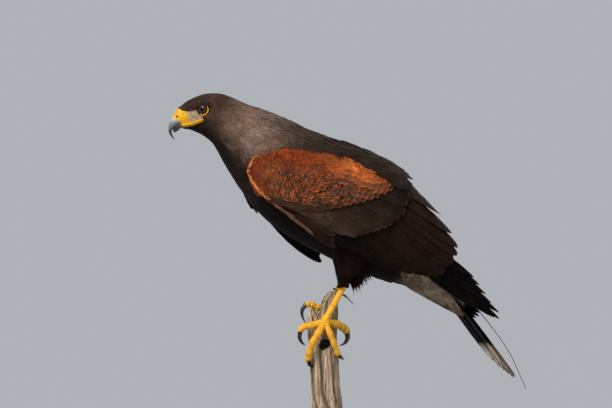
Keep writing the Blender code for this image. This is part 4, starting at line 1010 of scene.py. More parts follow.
def small_coverts(side):
    """The small coverts, from the wrist back to the grey-centred lower rows."""
    def pitch(along):
        return 3.0 + 0.7 * ramp(5, 60, along) + 3.2 * ramp(62, 112, along)

    spots = staggered(RUST_LOW, RUST_TOP, pitch)
    below_edge = spots[:, 1] < np.interp(spots[:, 0], *RUST_TOP) - 2.5
    along, height = spots[below_edge | (spots[:, 0] < 95)].T
    bottom = np.interp(along, *RUST_LOW)
    top = np.interp(along, *RUST_TOP)
    share = np.clip((height - bottom) / np.maximum(top - bottom, 6), 0, 1)
    count = len(along)
    turn = heading_on_wing(along, height) + chance.normal(0, 0.13, count)
    grow = ramp(5, 95, along)
    length = (9 + 11 * grow) * chance.uniform(0.85, 1.1, count)
    width = (5.6 + 6.0 * grow) * chance.uniform(0.9, 1.1, count)
    shares = BODY_SHARES
    us, vs = slope_line(along, height, turn, length, shares - 0.8)
    us = np.maximum(us, -2.4 + 0.025 * (vs - 12) ** 2)
    drop = hand_drop(us, side) * (1 - share)[:, None]
    lifts = rising(shares, -3.2, -1.1, -0.3)
    lifts = lifts + chance.normal(0, 0.11, (count, 1)) * (0.4 + shares)
    line, out = on_surface(wing(side), us, vs - drop, lifts)
    centre = ramp(0.78, 0.42, share + chance.normal(0, 0.08, count))
    centre = centre * (0.35 + 0.65 * ramp(0, 45, along + 0.35 * height))
    rust = toned(count, ("5c2713", "8c3f1d"), chance.beta(1.8, 1.8, count))
    rust = mix(rust, paint("5e2f1d"), 0.75 * ramp(0.72, 1.0, share) * ramp(10, 60, along))
    # Painted highlight: the rust and grey centres are made brighter where the sun strikes the bend.
    bright = np.exp(-(((along - 112) / 34) ** 2 + ((height - 68) / 16) ** 2))
    centre = centre * (1 - 0.45 * bright)
    rust = mix(rust, paint("c8703a"), 0.75 * bright)
    # Painted shade: on the far wing the lower rows are darkened.
    if side == RIGHT:
        rust = mix(rust, paint("1e1512"), ramp(0.5, 0.15, share))
    web = vary(mix(rust, toned(count, ("453932", "261e1b")), centre), 0.1)
    rim = mix(mix(rust, paint("b8683a"), 0.18), toned(count, ("7c3a1a", "a5562a")), centre)
    rim = vary(rim, 0.12)
    rim = mix(rim, paint("4a3228"), (chance.uniform(0, 1, count) < 0.25 * centre) * 0.7)
    return vanes(
        line, out, width, shares, wing_unrolled(along, height), web, rim,
        0.2 + 0.26 * centre + chance.normal(0, 0.04, count), shape=COVERT_SHAPE,
        columns=5, camber=0.02, thick=0.1, ragged=1.2, tilt=0.04 * -side,
    )


def front_rim(side):
    """The bright feathers along the wrist, and the thin pale line of the wing's leading edge."""
    stations = np.linspace(0.2, 6.8 if side == LEFT else 5.0, 130)
    places = smooth([(i, *p) for i, p in enumerate(FRONT_LINE)], stations)
    along, height = places.T
    ahead = np.gradient(places, axis=0)
    count = len(along)
    turn = np.arctan2(ahead[:, 1], ahead[:, 0])
    turn = np.where(height > -2, turn + 0.3, turn + 0.06) + chance.normal(0, 0.06, count)
    fade = ramp(14, 52, along)
    length, width = 6.5 + 9 * fade, 2.3 + 0.2 * fade
    shares = BODY_SHARES
    us, vs = slope_line(along, height + 0.3, turn, length, shares)
    us = np.maximum(us, -5.5)
    lifts = rising(shares, -1.8, -0.5, -0.3) - 0.5 * fade[:, None]
    line, out = on_surface(wing(side), us, vs - hand_drop(us, side), lifts)
    # Painted shade: the far wing's front rim is darkened.
    dark = side == RIGHT
    fade = np.maximum(fade, dark)
    web = mix(toned(count, ("b5622c", "cc7c44")), paint("33241c" if dark else "4c382c"), fade)
    web = vary(web, 0.14)
    rim = mix(paint("d48f5a"), paint("4a382d" if dark else "80604a"), fade)
    return vanes(
        line, out, width, shares, wing_unrolled(along, height), web, rim, 0.35,
        camber=0.03, thick=0.12, ragged=0.8,
    )


for side, name in SIDE_NAMES.items():
    shoulder = coat(f"coverts_small_{name}", [small_coverts(side), front_rim(side)], COAT_FINISH)
    dress(shoulder, "wing_feather", f"wing_{name}")

# %% [markdown]
# Below the shoulder come the long feathers, in rows that lie like roof tiles: median coverts, greater
# coverts, then the secondaries, which reach over the rump, and the black primaries, which point along
# the tail. Each row is drawn between its lowest feather and its highest. A feather's upper edge dips
# under its neighbour, so every one shows only its lower web and its pale rim.

# %% The rows of long wing feathers
# Rows of: share of the row from its lowest feather to its highest, root and tip as along and height.
MEDIAN_COVERTS = [
    (0.0, 24, -10, 44, -12), (0.12, 34, -4, 58, -10), (0.3, 52, 8, 84, 0), (0.5, 70, 24, 104, 12),
    (0.7, 88, 42, 122, 28), (0.85, 104, 58, 140, 46), (1.0, 122, 78, 160, 72),
]
GREATER_COVERTS = [
    (0.0, 45, -4, 100, 1), (0.2, 70, 6, 135, -2), (0.45, 86, 20, 160, 15), (0.7, 104, 38, 176, 36),
    (0.85, 116, 54, 184, 56), (1.0, 120, 74, 182, 80),
]
HAND_COVERTS = [(0.0, 50, -15, 133, -24), (0.5, 62, -9, 128, -17), (1.0, 74, -3, 122, -8)]
SECONDARIES = [
    (0.0, 70, -6, 163, -10), (0.22, 92, 4, 203, -8), (0.42, 108, 18, 240, 4), (0.56, 118, 32, 260, 15),
    (0.7, 126, 48, 267, 33), (0.82, 130, 62, 270, 53), (0.92, 132, 76, 258, 71), (1.0, 130, 90, 232, 88),
]
PRIMARIES = [
    (0.0, 196, 14, 322, 8), (0.2, 200, 16, 346, 9.5), (0.4, 203, 20, 358, 14), (0.6, 205, 24, 342, 25),
    (0.8, 207, 30, 324, 34), (1.0, 209, 38, 303, 42),
]
# Rows of: name, rows, feathers, width, lift at root, middle and tip, web, web at the top, rim, rim width.
WING_ROWS = [
    ("primaries", PRIMARIES, 9, 12, (-12, -9.5, -5), "0d0a09", "0b0808", "16110f", 0.08),
    # The secondaries' low web is painted near black, as painted shade along the wing's lower edge.
    ("secondaries", SECONDARIES, 17, 21, (-9.5, -5.0, -3.2), "0e0a08", "241913", "2c211a", 0.08),
    # The greater coverts' web at the top is painted dark, as painted shade under the feathers above them.
    ("greater", GREATER_COVERTS, 15, 21, (-6.5, -2.6, -1.5), "392c24", "1c1512", "3b2d24", 0.12),
    ("hand", HAND_COVERTS, 5, 12, (-6, -2.6, -1.8), "1d1511", "2a1f19", "372a21", 0.14),
    ("median", MEDIAN_COVERTS, 22, 15, (-4.6, -1.7, -0.8), "2f2520", "322722", "6b3a20", 0.24),
]
# Beyond this length along it, the far wing's tip would show below the near one.
FAR_TIP = 318
LONG_SHAPE = ((0, 0.5), (0.3, 0.85), (0.7, 1), (0.88, 0.84), (0.96, 0.6), (1, 0.3))
POINTED_SHAPE = ((0, 0.5), (0.3, 0.9), (0.6, 1), (0.8, 0.8), (0.93, 0.45), (1, 0.1))


def wing_row(side, rows, count, width, lift, low_web, top_web, rim, edge):
    """One row of long feathers on a folded wing."""
    t = np.linspace(0, 1, count)
    root_a, root_h, tip_a, tip_h = (smooth(rows, t) + chance.normal(0, 0.8, (count, 4))).T
    if rows is PRIMARIES and side == RIGHT:
        tip_a = np.minimum(tip_a, FAR_TIP) + 0.3 * np.maximum(tip_a - FAR_TIP, 0)
    shares = np.array([0, 0.2, 0.4, 0.6, 0.76, 0.87, 0.94, 0.98, 1.0])
    us = root_a[:, None] + (tip_a - root_a)[:, None] * shares
    vs = root_h[:, None] + (tip_h - root_h)[:, None] * shares
    if rows is HAND_COVERTS:
        vs = vs - hand_drop(us, side)
    line, out = on_surface(wing(side), us, vs, rising(shares, *lift))
    gaps = np.linalg.norm(np.gradient(line, axis=0), axis=-1).mean(axis=1)
    web = vary(mix(paint(low_web), paint(top_web), t), 0.1)
    shape = POINTED_SHAPE if rows is PRIMARIES else LONG_SHAPE
    rim = mix(web * 1.15, paint(rim), 0.3 + 0.7 * t)
    return vanes(
        line, out, width, shares, wing_unrolled(root_a, root_h), web, rim, edge, shape=shape,
        columns=5, camber=0.008, thick=0.22, ragged=0.8, tilt=-side * 0.9 / np.maximum(gaps, 4),
    )


for side, name in SIDE_NAMES.items():
    made = [wing_row(side, rows, *rest) for _, rows, *rest in WING_ROWS]
    dress(coat(f"flight_feathers_{name}", made, FLIGHT_FINISH), "wing_feather", f"wing_{name}")

# %% [markdown]
# Over the wing's upper edge lie the scapulars, a band of dark brown feathers with paler tips that join
# the back to the wing. They are longer than the body's, and lie along the wing.

# %% The scapulars
# The bounds of the band, in rows of along and height.
SCAPULAR_LOW = np.transpose([
    (-2, 22), (10, 37), (22, 51), (42, 60), (74, 75), (102, 86), (120, 86), (150, 81), (172, 84),
])
SCAPULAR_TOP = np.transpose([
    (-2, 26), (10, 52), (22, 66), (42, 82), (74, 96), (102, 106), (120, 108), (150, 108), (172, 106),
])


def scapulars(side):
    """The band of long feathers over the upper edge of one wing."""
    def pitch(along):
        return 4.6 + 2.6 * ramp(0, 120, along)

    along, height = staggered(SCAPULAR_LOW, SCAPULAR_TOP, pitch).T
    grow = ramp(0, 110, along)
    turn = heading_on_wing(along, height) * 0.7 + chance.normal(0, 0.07, len(along))
    length, width = 13 + 19 * grow, 8 + 7 * grow
    shares = np.linspace(0, 1, 7)
    start, low = along - 0.7 * length * np.cos(turn), height - 0.5 * length * np.sin(turn)
    us, vs = slope_line(start, low, turn, length, shares)
    lifts = rising(shares, -3.0, -0.6, 0.1) + chance.normal(0, 0.12, (len(along), 1))
    line, out = on_surface(wing(side), np.maximum(us, -8), vs, lifts)
    web = toned(len(along), ("5c4c44", "332822"), ramp(2, 46, along))
    web = vary(mix(web, paint("261c17"), grow), 0.12)
    return vanes(
        line, out, width, shares, wing_unrolled(along, height), web, web * 1.2, 0.2,
        columns=5, camber=0.015, thick=0.12, ragged=1.4,
    )


for side, name in SIDE_NAMES.items():
    dress(coat(f"scapulars_{name}", [scapulars(side)], COAT_FINISH), "wing_feather")

# %% [markdown]
# The tail is closed: the middle pair of feathers lies on top and each pair further out a little lower
# and shorter. It is black with a white band at its end, and the tips are worn and dirty.

# %% The tail feathers
TAIL_PAIRS, TAIL_WIDTH, TAIL_STEP = 6, 19.5, 1.15
BAND_START, BAND_FADE = 158, 4
# How much shorter each pair is than the tail, from the middle pair outwards.
TAIL_SHORT = (3, 1, 6, 12, 19, 28)


def tail_pair(pair, side):
    """One tail feather. Pair 0 is the middle pair, which lies on top."""
    shares = np.array([0, 0.15, 0.3, 0.45, 0.58, 0.66, 0.7, 0.74, 0.79, 0.85, 0.9, 0.94, 0.97, 1.0])
    along = 45 + (TAIL_LENGTH - 45 - TAIL_SHORT[pair] - chance.uniform(0, 2)) * shares
    apart = (0.3 + 0.95 * pair) * (1.8 + 0.9 * shares)
    below = 0.8 + pair * TAIL_STEP + (0.5 if side == RIGHT else 0)
    line = tail(along, side * apart, -below)[None]
    out = unit(tail(along, side * apart, 1 - below)[None] - line)
    band = ramp(BAND_START - BAND_FADE, BAND_START + BAND_FADE, along + chance.normal(0, 1.5))[None]
    worn = ramp(180, 207, along + chance.normal(0, 4))[None]
    white = mix(paint("cfc4b6"), paint("8f7a66"), worn)
    web = mix(paint("0c0908"), white, band)
    rim = mix(paint("120d0b"), white * 0.75, band)
    patch = np.array([[0.45 + 0.02 * pair * side, 0.03]])
    return vanes(
        line, out, TAIL_WIDTH, shares, patch, web, rim, 0.12, shape=LONG_SHAPE,
        columns=9, camber=0.004, thick=0.3, ragged=4.5, tilt=side * 0.06,
    )


feathers = [tail_pair(pair, side) for pair in range(TAIL_PAIRS) for side in (LEFT, RIGHT)]
dress(coat("tail_feathers", feathers, FLIGHT_FINISH), "tail_feather", "tail")

# %% [markdown]
# The tail's root is wrapped in white coverts, which below fall in two soft lobes. They are the palest
# part of the bird, but their white is painted grey brown as painted shade, darkest below and in the gap
# between the lobes. Longer ones run on along the tail, over and under it, so that white and black meet in
# points and not in a straight edge.

# %% The white coverts round the tail's root
def tail_coverts():
    """Rows of soft feathers round the tail's root."""
    roots = rows_round(coverts, 0, 3.3, [(0, 30, 10, 4.6, 4.4), (4, 30, 10, 4.6, 4.4)])
    count = len(roots)
    roots += chance.normal(0, 1, roots.shape) * (0.06, 0.05)
    position, angle = roots.T
    inside = ramp(2.2, 3.2, position)
    shares = np.array([0, 0.2, 0.4, 0.6, 0.78, 0.92, 1.0])
    length = (24 + 4 * ramp(-0.2, 0.5, -np.cos(angle))) * chance.uniform(0.85, 1.1, count)
    lifts = rising(shares, -2.4, -0.4, 0.2) - inside[:, None]
    lifts = lifts + chance.normal(0, 0.3, (count, 1)) * shares
    us = position[:, None] + (length / 19.5)[:, None] * shares
    vs = angle[:, None] + chance.normal(0, 0.05, (count, 1)) * shares
    line, out = on_surface(coverts, np.clip(us, 0, 3.98), vs, lifts)
    # Painted shadow: a darker band on the underside, in the gap between the two lobes.
    lobe_gap_shade = np.exp(-(((position - 1.9) / 0.28) ** 2)) * ramp(0.2, 0.7, -np.cos(angle))
    web = vary(mix(toned(count, ("8b7d6d", "5d5045")), paint("2c2420"), 0.7 * lobe_gap_shade), 0.07)
    return vanes(
        line, out, 10.5, shares, unrolled(angle, 0.02 + position / 40),
        web, web * 0.8, 0.2, columns=5, camber=0.015, thick=0.12, ragged=2.4,
    )


def uppertail(count=60):
    """Longer white coverts that lie on the upper side of the tail."""
    first = chance.uniform(18, 62, count)
    across = chance.uniform(-14, 14, count) * (1 - 0.5 * (first - 18) / 44)
    shares = np.linspace(0, 1, 7)
    along = first[:, None] + (chance.uniform(27, 41, count) - 0.04 * across**2)[:, None] * shares
    sunk = -0.9 * np.sin(np.pi * shares) + chance.normal(0, 0.25, (count, 1))
    line = tail(along, across[:, None] * (0.8 + 0.2 * shares), -sunk)
    out = unit(tail(along, across[:, None], 1 - sunk) - line)
    web = vary(toned(count, ("b0a392", "7c6d5d")), 0.08)
    return vanes(
        line, out, 11, shares, np.stack([0.5 + across / 60, first / 400], axis=1),
        web, web * 0.85, 0.2, columns=5, camber=0.006, thick=0.12, ragged=1.6,
    )


def undertail(count=50):
    """White coverts wrapped round the underside of the tail's root. Turn 0 is straight down."""
    first = np.linspace(58, 80, count) + chance.uniform(-2, 2, count)
    turn = chance.uniform(-1.65, 1.65, count) * (1 - 0.35 * ramp(55, 78, first))
    shares = np.linspace(0, 1, 7)
    along = first[:, None] + chance.uniform(25, 35, count)[:, None] * shares
    deep = np.interp(along, (34, 60, 85, 100, 125), (16.6, 13.6, 9.4, 8.2, 7.8))
    half = np.interp(along, (34, 60, 85, 98, 125), (13.6, 14.4, 13.4, 11.4, 9))
    swell = rising(shares, 0.9, 1.0, 1.03)
    swell = swell + chance.normal(0, 0.012, (count, 1)) * shares
    side, down = np.sin(turn)[:, None], np.cos(turn)[:, None]
    across, lift = half * swell * side, -1 - deep * swell * down
    line = tail(along, across, lift)
    out = unit(tail(along, across + side, lift - down) - line)
    # Painted shade: the undertail is darker than the coverts above the tail.
    web = vary(toned(count, ("7a6d5f", "52473c")), 0.08)
    return vanes(
        line, out, 9, shares, np.stack([0.5 + turn / 4, first / 400], axis=1),
        web, web * 0.85, 0.2, columns=5, camber=0.012, thick=0.12, ragged=1.8,
    )


over = uppertail()
white_coat = coat("coverts_tail", [tail_coverts(), undertail(), over], COAT_FINISH)
dress(white_coat, "covert_feather", "tail_coverts")

# %% [markdown]
# The thighs wear loose rusty trousers: long soft feathers that hang from the flank to the hock, looser
# and longer at the back. Their rust is painted nearly black, as painted shade under the body.

# %% The trousers
# Loose feathers behind each leg, from root to tip.
FRINGE = {
    LEFT: [((30, -24, 238), (45, -21, 203)), ((27, -24, 230), (37, -21, 198))],
    RIGHT: [((36, 27, 238), (48, 25, 198)), ((31, 27, 232), (42, 25, 195))],
}


# Rows of: position down the thigh, length, width, step along, step round.
TROUSER_ROWS = [
    (0, 30, 5.2, 3.2, 2.8), (2, 28, 4.6, 3.0, 2.5), (4, 18, 3.4, 2.4, 1.9), (5, 12, 2.8, 2.0, 1.7),
]


def trousers(side):
    """The feathers of one thigh, which hang down and end above the bare shank."""
    roots = rows_round(thigh(side), 0.2, 4.3, TROUSER_ROWS)
    count = len(roots)
    roots += chance.normal(0, 1, roots.shape) * (0.06, 0.05)
    position, angle = roots.T
    length, width, _, _ = columns(TROUSER_ROWS, position)
    shares = np.array([0, 0.2, 0.4, 0.6, 0.8, 0.93, 1.0])
    lifts = rising(shares, -2.0, -0.2, 0.2)
    lifts = lifts + chance.normal(0, 0.5, (count, 1)) * shares
    length = np.minimum(length, 70 * (5.2 - position) / 5.2 + 5) * chance.uniform(0.8, 1.05, count)
    turn = chance.normal(0, 0.1, count)
    line, out = lay(thigh(side), position, angle, length, turn, shares, lifts)
    # Painted shade: the rusty feathers are darkened to nearly black.
    web = toned(count, ("26120b", "100906"), chance.beta(2, 1.4, count))
    return vanes(
        line, out, width, shares, unrolled(angle, 0.1 + position / 7),
        vary(web, 0.12), web * 1.2, 0.2, camber=0.02, thick=0.08, ragged=2.6,
    )


def fringe(side):
    """Loose strands that hang behind the leg."""
    sets, shares = FRINGE[side], np.linspace(0, 1, 7)
    count = 190
    pick = chance.integers(0, len(sets), count)
    root = np.array([sets[i][0] for i in pick]) + chance.normal(0, 1, (count, 3)) * (2.6, 2.2, 4)
    tip = np.array([sets[i][1] for i in pick]) + chance.normal(0, 1, (count, 3)) * (2.2, 1.8, 4)
    bend = np.sin(np.pi * shares)[:, None] * chance.normal(0, 1, (count, 1, 3)) * (1.6, 1, 0.6)
    line = root[:, None] + (tip - root)[:, None] * shares[:, None] + bend
    out = unit(np.broadcast_to((0.2, side, 0), line.shape) + chance.normal(0, 0.3, (count, 1, 3)))
    # Painted shade: the strands are darkened to nearly black, like the trousers.
    web = toned(count, ("27130c", "120a07"))
    patches = chance.uniform(0.02, 0.98, (count, 2)) * (1, 0.08)
    return vanes(
        line, out, 1.9, shares, patches, web, web * 1.3, 0.2, camber=0.02, thick=0.08, ragged=2.5
    )


for side, name in SIDE_NAMES.items():
    legs_coat = coat(f"trousers_{name}", [trousers(side), fringe(side)], COAT_FINISH)
    dress(legs_coat, "leg_feather", f"thigh_{name}")

# %% [markdown]
# The eyes need sockets, which are cut from the skin. The colours of the skin come after that, when its
# points are known. The face's bare skin is painted on the same mesh: yellow along the mouth and beside
# the cere, whitish grey on the lores before the eye.

# %% Sockets, and colours painted on the skin
def ball(name, centre, radii, finish=None, axes=None, around=48, rows=32):
    """A closed egg shape with its own axes. Its last axis runs from pole to pole."""
    axes = np.eye(3) if axes is None else np.asarray(axes, float)
    tilt = np.linspace(0, np.pi, rows + 2)[1:-1]
    spin = circle(around)
    local = np.stack([
        np.outer(np.sin(tilt), np.cos(spin)) * radii[0],
        np.outer(np.sin(tilt), np.sin(spin)) * radii[1],
        np.outer(np.cos(tilt), np.ones(around)) * radii[2],
    ], axis=-1)
    return loft(name, np.asarray(centre) + local @ axes, finish)


sockets = [ball("socket", EYES[side], [EYE_RADIUS + 0.25] * 3) for side in (LEFT, RIGHT)]
boolean(skin, sockets, "DIFFERENCE")
points = np.empty(len(skin.data.vertices) * 3, np.float32)
skin.data.vertices.foreach_get("co", points)
points = points.reshape(-1, 3).astype(float) / MM
x, y, z = points.T
spine = np.array([np.add(back, belly) / 2 for back, belly, _ in BODY_SECTIONS.values()])
offs = [to_line(x, z, a, b) for a, b in zip(spine, spine[1:])]
nearest = np.argmin([off for off, _ in offs], axis=0)
position = nearest + np.choose(nearest, [share for _, share in offs])
up_at = np.interp(position, np.arange(len(spine)), spine[:, 1])
tones = trunk_colour(position, np.arccos(np.clip((z - up_at) / 45, -1, 1)))
for side in (LEFT, RIGHT):
    along, height = wing_coordinates(points, side)
    low, high = columns(WING_OUTLINE, along)
    on_wing = (y * side > 14) & (along < 232) & (height > low - 12) & (height < high)
    rusty = on_wing & (y * side > 42) & (height < np.interp(along, *RUST_TOP))
    tones[on_wing] = paint("241a16")
    tones[rusty] = paint("4e281a")
# Painted shade: the skin of the thighs is nearly black, like their feathers.
legs_part = (z < 228) & (x > -5) & (x < 70) & (z > 150)
tones[legs_part] = paint("26130d")
hx, hy, hz = side_view(points)
face = (position > 12.4) & (np.abs(hy) > 3.2)
in_lores = inside_outline(hx, hz, LORES) * face
lores = mix(paint("8d8271"), paint("c9b98d"), ramp(-153, -166, hx))
tones = mix(tones, lores, in_lores * 0.92)
near_mouth = ramp(3.4, 1.6, mouth_distance(hx, hz)) * ramp(-146, -150, hx)
near_cere = ramp(-165, -170.5, hx + 0.25 * (hz - 394)) * ramp(402.5, 399.5, hz) * ramp(381, 384, hz)
tones = mix(tones, paint("e0ab1a"), face * np.maximum(near_mouth, near_cere))
# Painted shade: a thin dark line along the mouth, in the crease of the gape.
tones = mix(tones, paint("241a17"), face * ramp(0.9, 0.3, mouth_distance(hx, hz)) * ramp(-146, -149, hx))
store(skin, "web", tones)
FLESH = [
    "torso", "neck", "head", "wing_left", "wing_right", "thigh_left", "thigh_right", "tail", "tail_coverts",
]
dress(skin, "body_feather", *FLESH)

# %% [markdown]
# An eye is a ball with a clear cornea over a brown iris and a black pupil. Here one closed ball carries
# them as rings of colour. Each ring is found from the angle between the line of sight and a place.

# %% The eyes
def eye_finish(side):
    """The eye's wet ball. A smooth coat gives one small sharp highlight, which makes the eye look alive."""
    made, tree, place = start_material(
        f"wet brown eye {SIDE_NAMES[side]}", 0.3, Coat_Weight=0.45, Coat_Roughness=0.03,
        Specular_IOR_Level=0.1,
    )
    offset = node(tree, "VectorMath", (place, tuple(EYES[side] * MM)), operation="SUBTRACT")
    ahead = node(tree, "VectorMath", (offset, tuple(GAZES[side])), out="Value", operation="DOT_PRODUCT")
    distance = node(tree, "VectorMath", (offset,), out="Value", operation="LENGTH")
    turn = node(tree, "Math", (ahead, distance), operation="DIVIDE")
    turn = node(tree, "Math", (turn,), operation="ARCCOSINE")
    streaks = node(tree, "TexNoise", {"Vector": place, "Scale": 1400, "Detail": 2})
    colour = node(tree, "Mix", {0: streaks, 6: paint("4c2312"), 7: paint("210f08")}, **COLOURS)
    # Rows of: where a ring starts and ends in radians, and its colour.
    for start, end, code in ((0.5, 0.8, "1b0d07"), (0.43, 0.38, "030202"), (0.78, 0.86, "0b0605")):
        share = node(tree, "MapRange", (turn, start, end), **STEP)
        colour = node(tree, "Mix", {0: share, 6: colour, 7: paint(code)}, **COLOURS)
    end_material(tree, colour)
    return made


for side, gaze in GAZES.items():
    across = unit(np.cross(gaze, (0, 0, 1)))
    axes = (across, np.cross(across, gaze), gaze)
    eye = ball(f"eyeball_{SIDE_NAMES[side]}", EYES[side], [EYE_RADIUS] * 3, eye_finish(side), axes)
    dress(eye, "eye", f"eye_{SIDE_NAMES[side]}")

# %% [markdown]
# Cere, lids, mouth's edge and feet are bare skin: waxy, mottled and finely pored. A little light goes in
# and comes out again, 2 mm on, which keeps the yellow warm in its shades. Pores and scales are finer
# than half a millimetre, so they are bump.

# %% Bare waxy skin
def waxy_skin(name, low, high, pore, scales=0.0, gloss=0.35):
    """Bare waxy skin, with small round scales if asked, at so many a metre, their seams painted darker as
    painted shade.
    """
    made, tree, place = start_material(
        name, 0.42, Specular_IOR_Level=gloss, Subsurface_Weight=0.12, Subsurface_Scale=0.002
    )
    mottle = node(tree, "TexNoise", {"Vector": place, "Scale": 240, "Detail": 3})
    pores = node(tree, "TexNoise", {"Vector": place, "Scale": 1500, "Detail": 2})
    share = node(tree, "MapRange", (mottle, 0.35, 0.7), **STEP)
    tone = node(tree, "Mix", {0: share, 6: paint(high), 7: paint(low)}, **COLOURS)
    share = node(tree, "MapRange", (pores, 0.45, 0.75, 0.0, 0.3), **STEP)
    tone = node(tree, "Mix", {0: share, 6: tone, 7: paint(pore)}, **COLOURS)
    height = node(tree, "Math", (mottle, 0.8, pores), operation="MULTIPLY_ADD")
    if scales:
        # The points' colours carry painted shade in the plates' seams and on the hind toe.
        shade = node(tree, "Attribute", {}, out="Color", attribute_name="web")
        cells = {"Vector": place, "Scale": scales}
        distance = node(tree, "TexVoronoi", cells, out="Distance", feature="DISTANCE_TO_EDGE")
        seam = node(tree, "MapRange", (distance, 0.0, 0.12, 1.0, 0.0), **STEP)
        tone = node(tree, "Mix", {0: 1.0, 6: tone, 7: shade}, blend_type="MULTIPLY", **COLOURS)
        # Painted shade: the seams between the scales are darkened towards the pore colour.
        share = node(tree, "Math", (seam, 0.22), operation="MULTIPLY")
        tone = node(tree, "Mix", {0: share, 6: tone, 7: paint(pore)}, **COLOURS)
        height = node(tree, "Math", (seam, -1.2, height), operation="MULTIPLY_ADD")
    end_material(tree, tone, height, 0.25, 0.6)
    return made


# Yellow skin is the brightest thing on the bird, and draws the eye to the face.
yellow_skin = waxy_skin("waxy yellow skin", "d99c12", "f0b90f", "b0701a")
# Dark skin with little shine, painted as the shade that the brow casts on the lid and as the shade inside the
# nostrils. It frames the eye and leaves the highlight to it.
lid_and_nostril_shade_skin = waxy_skin("dark skin painted as lid and nostril shade", "120d0b", "1e1613", "0c0807", gloss=0.1)
# The feet's scales are about 1.6 mm across, and break the light into many small glints.
foot_skin = waxy_skin("scaly yellow foot skin", "efab1c", "fbc835", "b57a2a", scales=620)
print("skins:", yellow_skin.name, lid_and_nostril_shade_skin.name, foot_skin.name)

# %% [markdown]
# The lids are a thin ring of folded skin, painted dark as the shade that the brow casts on them, with a
# bare yellow rim behind and below. The edge of the gape is a raised yellow fold, with a thinner one along
# the jaw. Each is a tube of its own, laid on the face, because a fold catches light along its whole length.

# %% The lids and the folds of the mouth
def lid_ring(name, side, ring, out, thick, wide, first, last, finish, count=72):
    """Part of a ring of soft skin round the eye, from one turn to another."""
    gaze = GAZES[side]
    across = unit(np.cross(gaze, (0, 0, 1))) * side
    above = unit(np.cross(across, gaze)) * side
    turns = np.linspace(first, last, count)
    path = EYES[side] + gaze * out + ring * (np.outer(np.cos(turns), across) + np.outer(np.sin(turns), above))
    outward = unit(path - EYES[side] - gaze * out)
    spin = circle(12)
    whole = last - first > 6.2
    fade = np.ones(count) if whole else np.sin(np.pi * np.linspace(0.03, 0.97, count)) ** 0.6
    fade = fade * (1 + 0.05 * np.sin(turns * 23))
    round_it = wide * np.cos(spin)[:, None] * outward[:, None] + thick * np.sin(spin)[:, None] * gaze
    return loft(name, path[:, None] + fade[:, None, None] * round_it, finish)


def on_face(places, side, lift):
    """Points on the face from places in side view."""
    spots = np.array([head_spot(x, z, side) for x, z in places])
    return trunk(spots[:, 0], spots[:, 1], lift)


for side, name in SIDE_NAMES.items():
    # The lid is painted dark, as the shade that the brow casts on it.
    lid = lid_ring(f"eyelid_{name}", side, 6.7, 3.5, 0.8, 1.0, 0, 2 * math.pi, lid_and_nostril_shade_skin)
    dress(lid, "scaled_skin")
    start, end = math.radians(-140), math.radians(48)
    rim = lid_ring(f"eye_rim_{name}", side, 6.75, 3.9, 0.75, 0.75, start, end, yellow_skin)
    dress(rim, "scaled_skin")
    path = refine(on_face([(x, z + 0.9) for x, z in MOUTH_LINE[::2]], side, 0.1), 60)
    radii = np.interp(np.linspace(0, 1, 60), (0, 0.12, 0.5, 0.9, 1), (0.3, 1.0, 1.25, 1.1, 0.8))
    dress(loft(f"gape_fold_{name}", along_path(path, radii, 16), yellow_skin), "scaled_skin")
    path = refine(on_face([(x, z - 1.1) for x, z in MOUTH_LINE[::2]], side, 0.0), 60)
    dress(loft(f"jaw_fold_{name}", along_path(path, radii * 0.42, 12), yellow_skin), "scaled_skin")

# %% [markdown]
# Over the eye the brow's feathers stand out like an eave, which gives a hawk its stern look. They are four
# rows, the lowest standing out furthest. Before the eye the bare skin carries short fine bristles.

# %% The brow, and bristles on the bare skin
# Rows of: height over the brow's line, how far the tips stand out, where the row starts, its length.
BROW_ROWS = [(1.8, 0.2, -3, 20), (0.3, 0.7, -3, 20), (-1.2, 1.5, -3, 20), (-2.3, 2.1, 1, 17)]
BROW_COUNT = 30


def brow(side):
    """Short stiff feathers that stand out over the eye."""
    share = np.linspace(0, 1, BROW_COUNT)
    sets, shares = [], np.linspace(0, 1, 6)
    for up, lift, start, reach in BROW_ROWS:
        x = BROW_FRONT[0] + start + reach * share + chance.normal(0, 0.4, BROW_COUNT)
        z = BROW_FRONT[1] - 0.6 + 2.2 * share + up - 1.5 * (1 - share) ** 2
        z = z + chance.normal(0, 0.3, BROW_COUNT)
        spots = np.array([head_spot(a, b, side) for a, b in zip(x, z)])
        lifts = np.interp(shares, (0, 0.4, 1), (-0.6, lift * 0.8, lift))
        turn = np.pi + side * (0.1 - 0.12 * up) + chance.normal(0, 0.14, BROW_COUNT)
        length = chance.uniform(4.5, 6.5, BROW_COUNT)
        line, out = lay(trunk, spots[:, 0], spots[:, 1], length, turn, shares, lifts)
        web = toned(BROW_COUNT, ("3b2d26", "2a1f1b"))
        sets.append(vanes(
            line, out, 1.7, shares, unrolled(spots[:, 1], spots[:, 0] / FACE_END),
            web, web * 1.2, 0.3, camber=0.03, thick=0.06, ragged=0.8,
        ))
    return sets


def bristles(side, count=70):
    """Fine dark bristles that point forwards and up from the bare skin."""
    x = chance.uniform(-168, -153.5, count)
    z = chance.uniform(388.5, 399.5, count)
    spots = np.array([head_spot(a, b, side) for a, b in zip(x, z)])
    shares = np.linspace(0, 1, 6)
    lifts = rising(shares, -0.5, 0.4, 0.9)
    lifts = lifts + chance.normal(0, 0.25, (count, 1)) * shares
    turn = side * chance.normal(-0.9, 0.3, count)
    length = chance.uniform(2, 4, count)
    line, out = lay(trunk, spots[:, 0], spots[:, 1], length, turn, shares, lifts)
    web = toned(count, ("5d5146", "9a8f7e"))
    patches = unrolled(spots[:, 1], spots[:, 0] / FACE_END)
    return vanes(line, out, 0.22, shares, patches, web, web, 0.3, camber=0.0, thick=0.08)


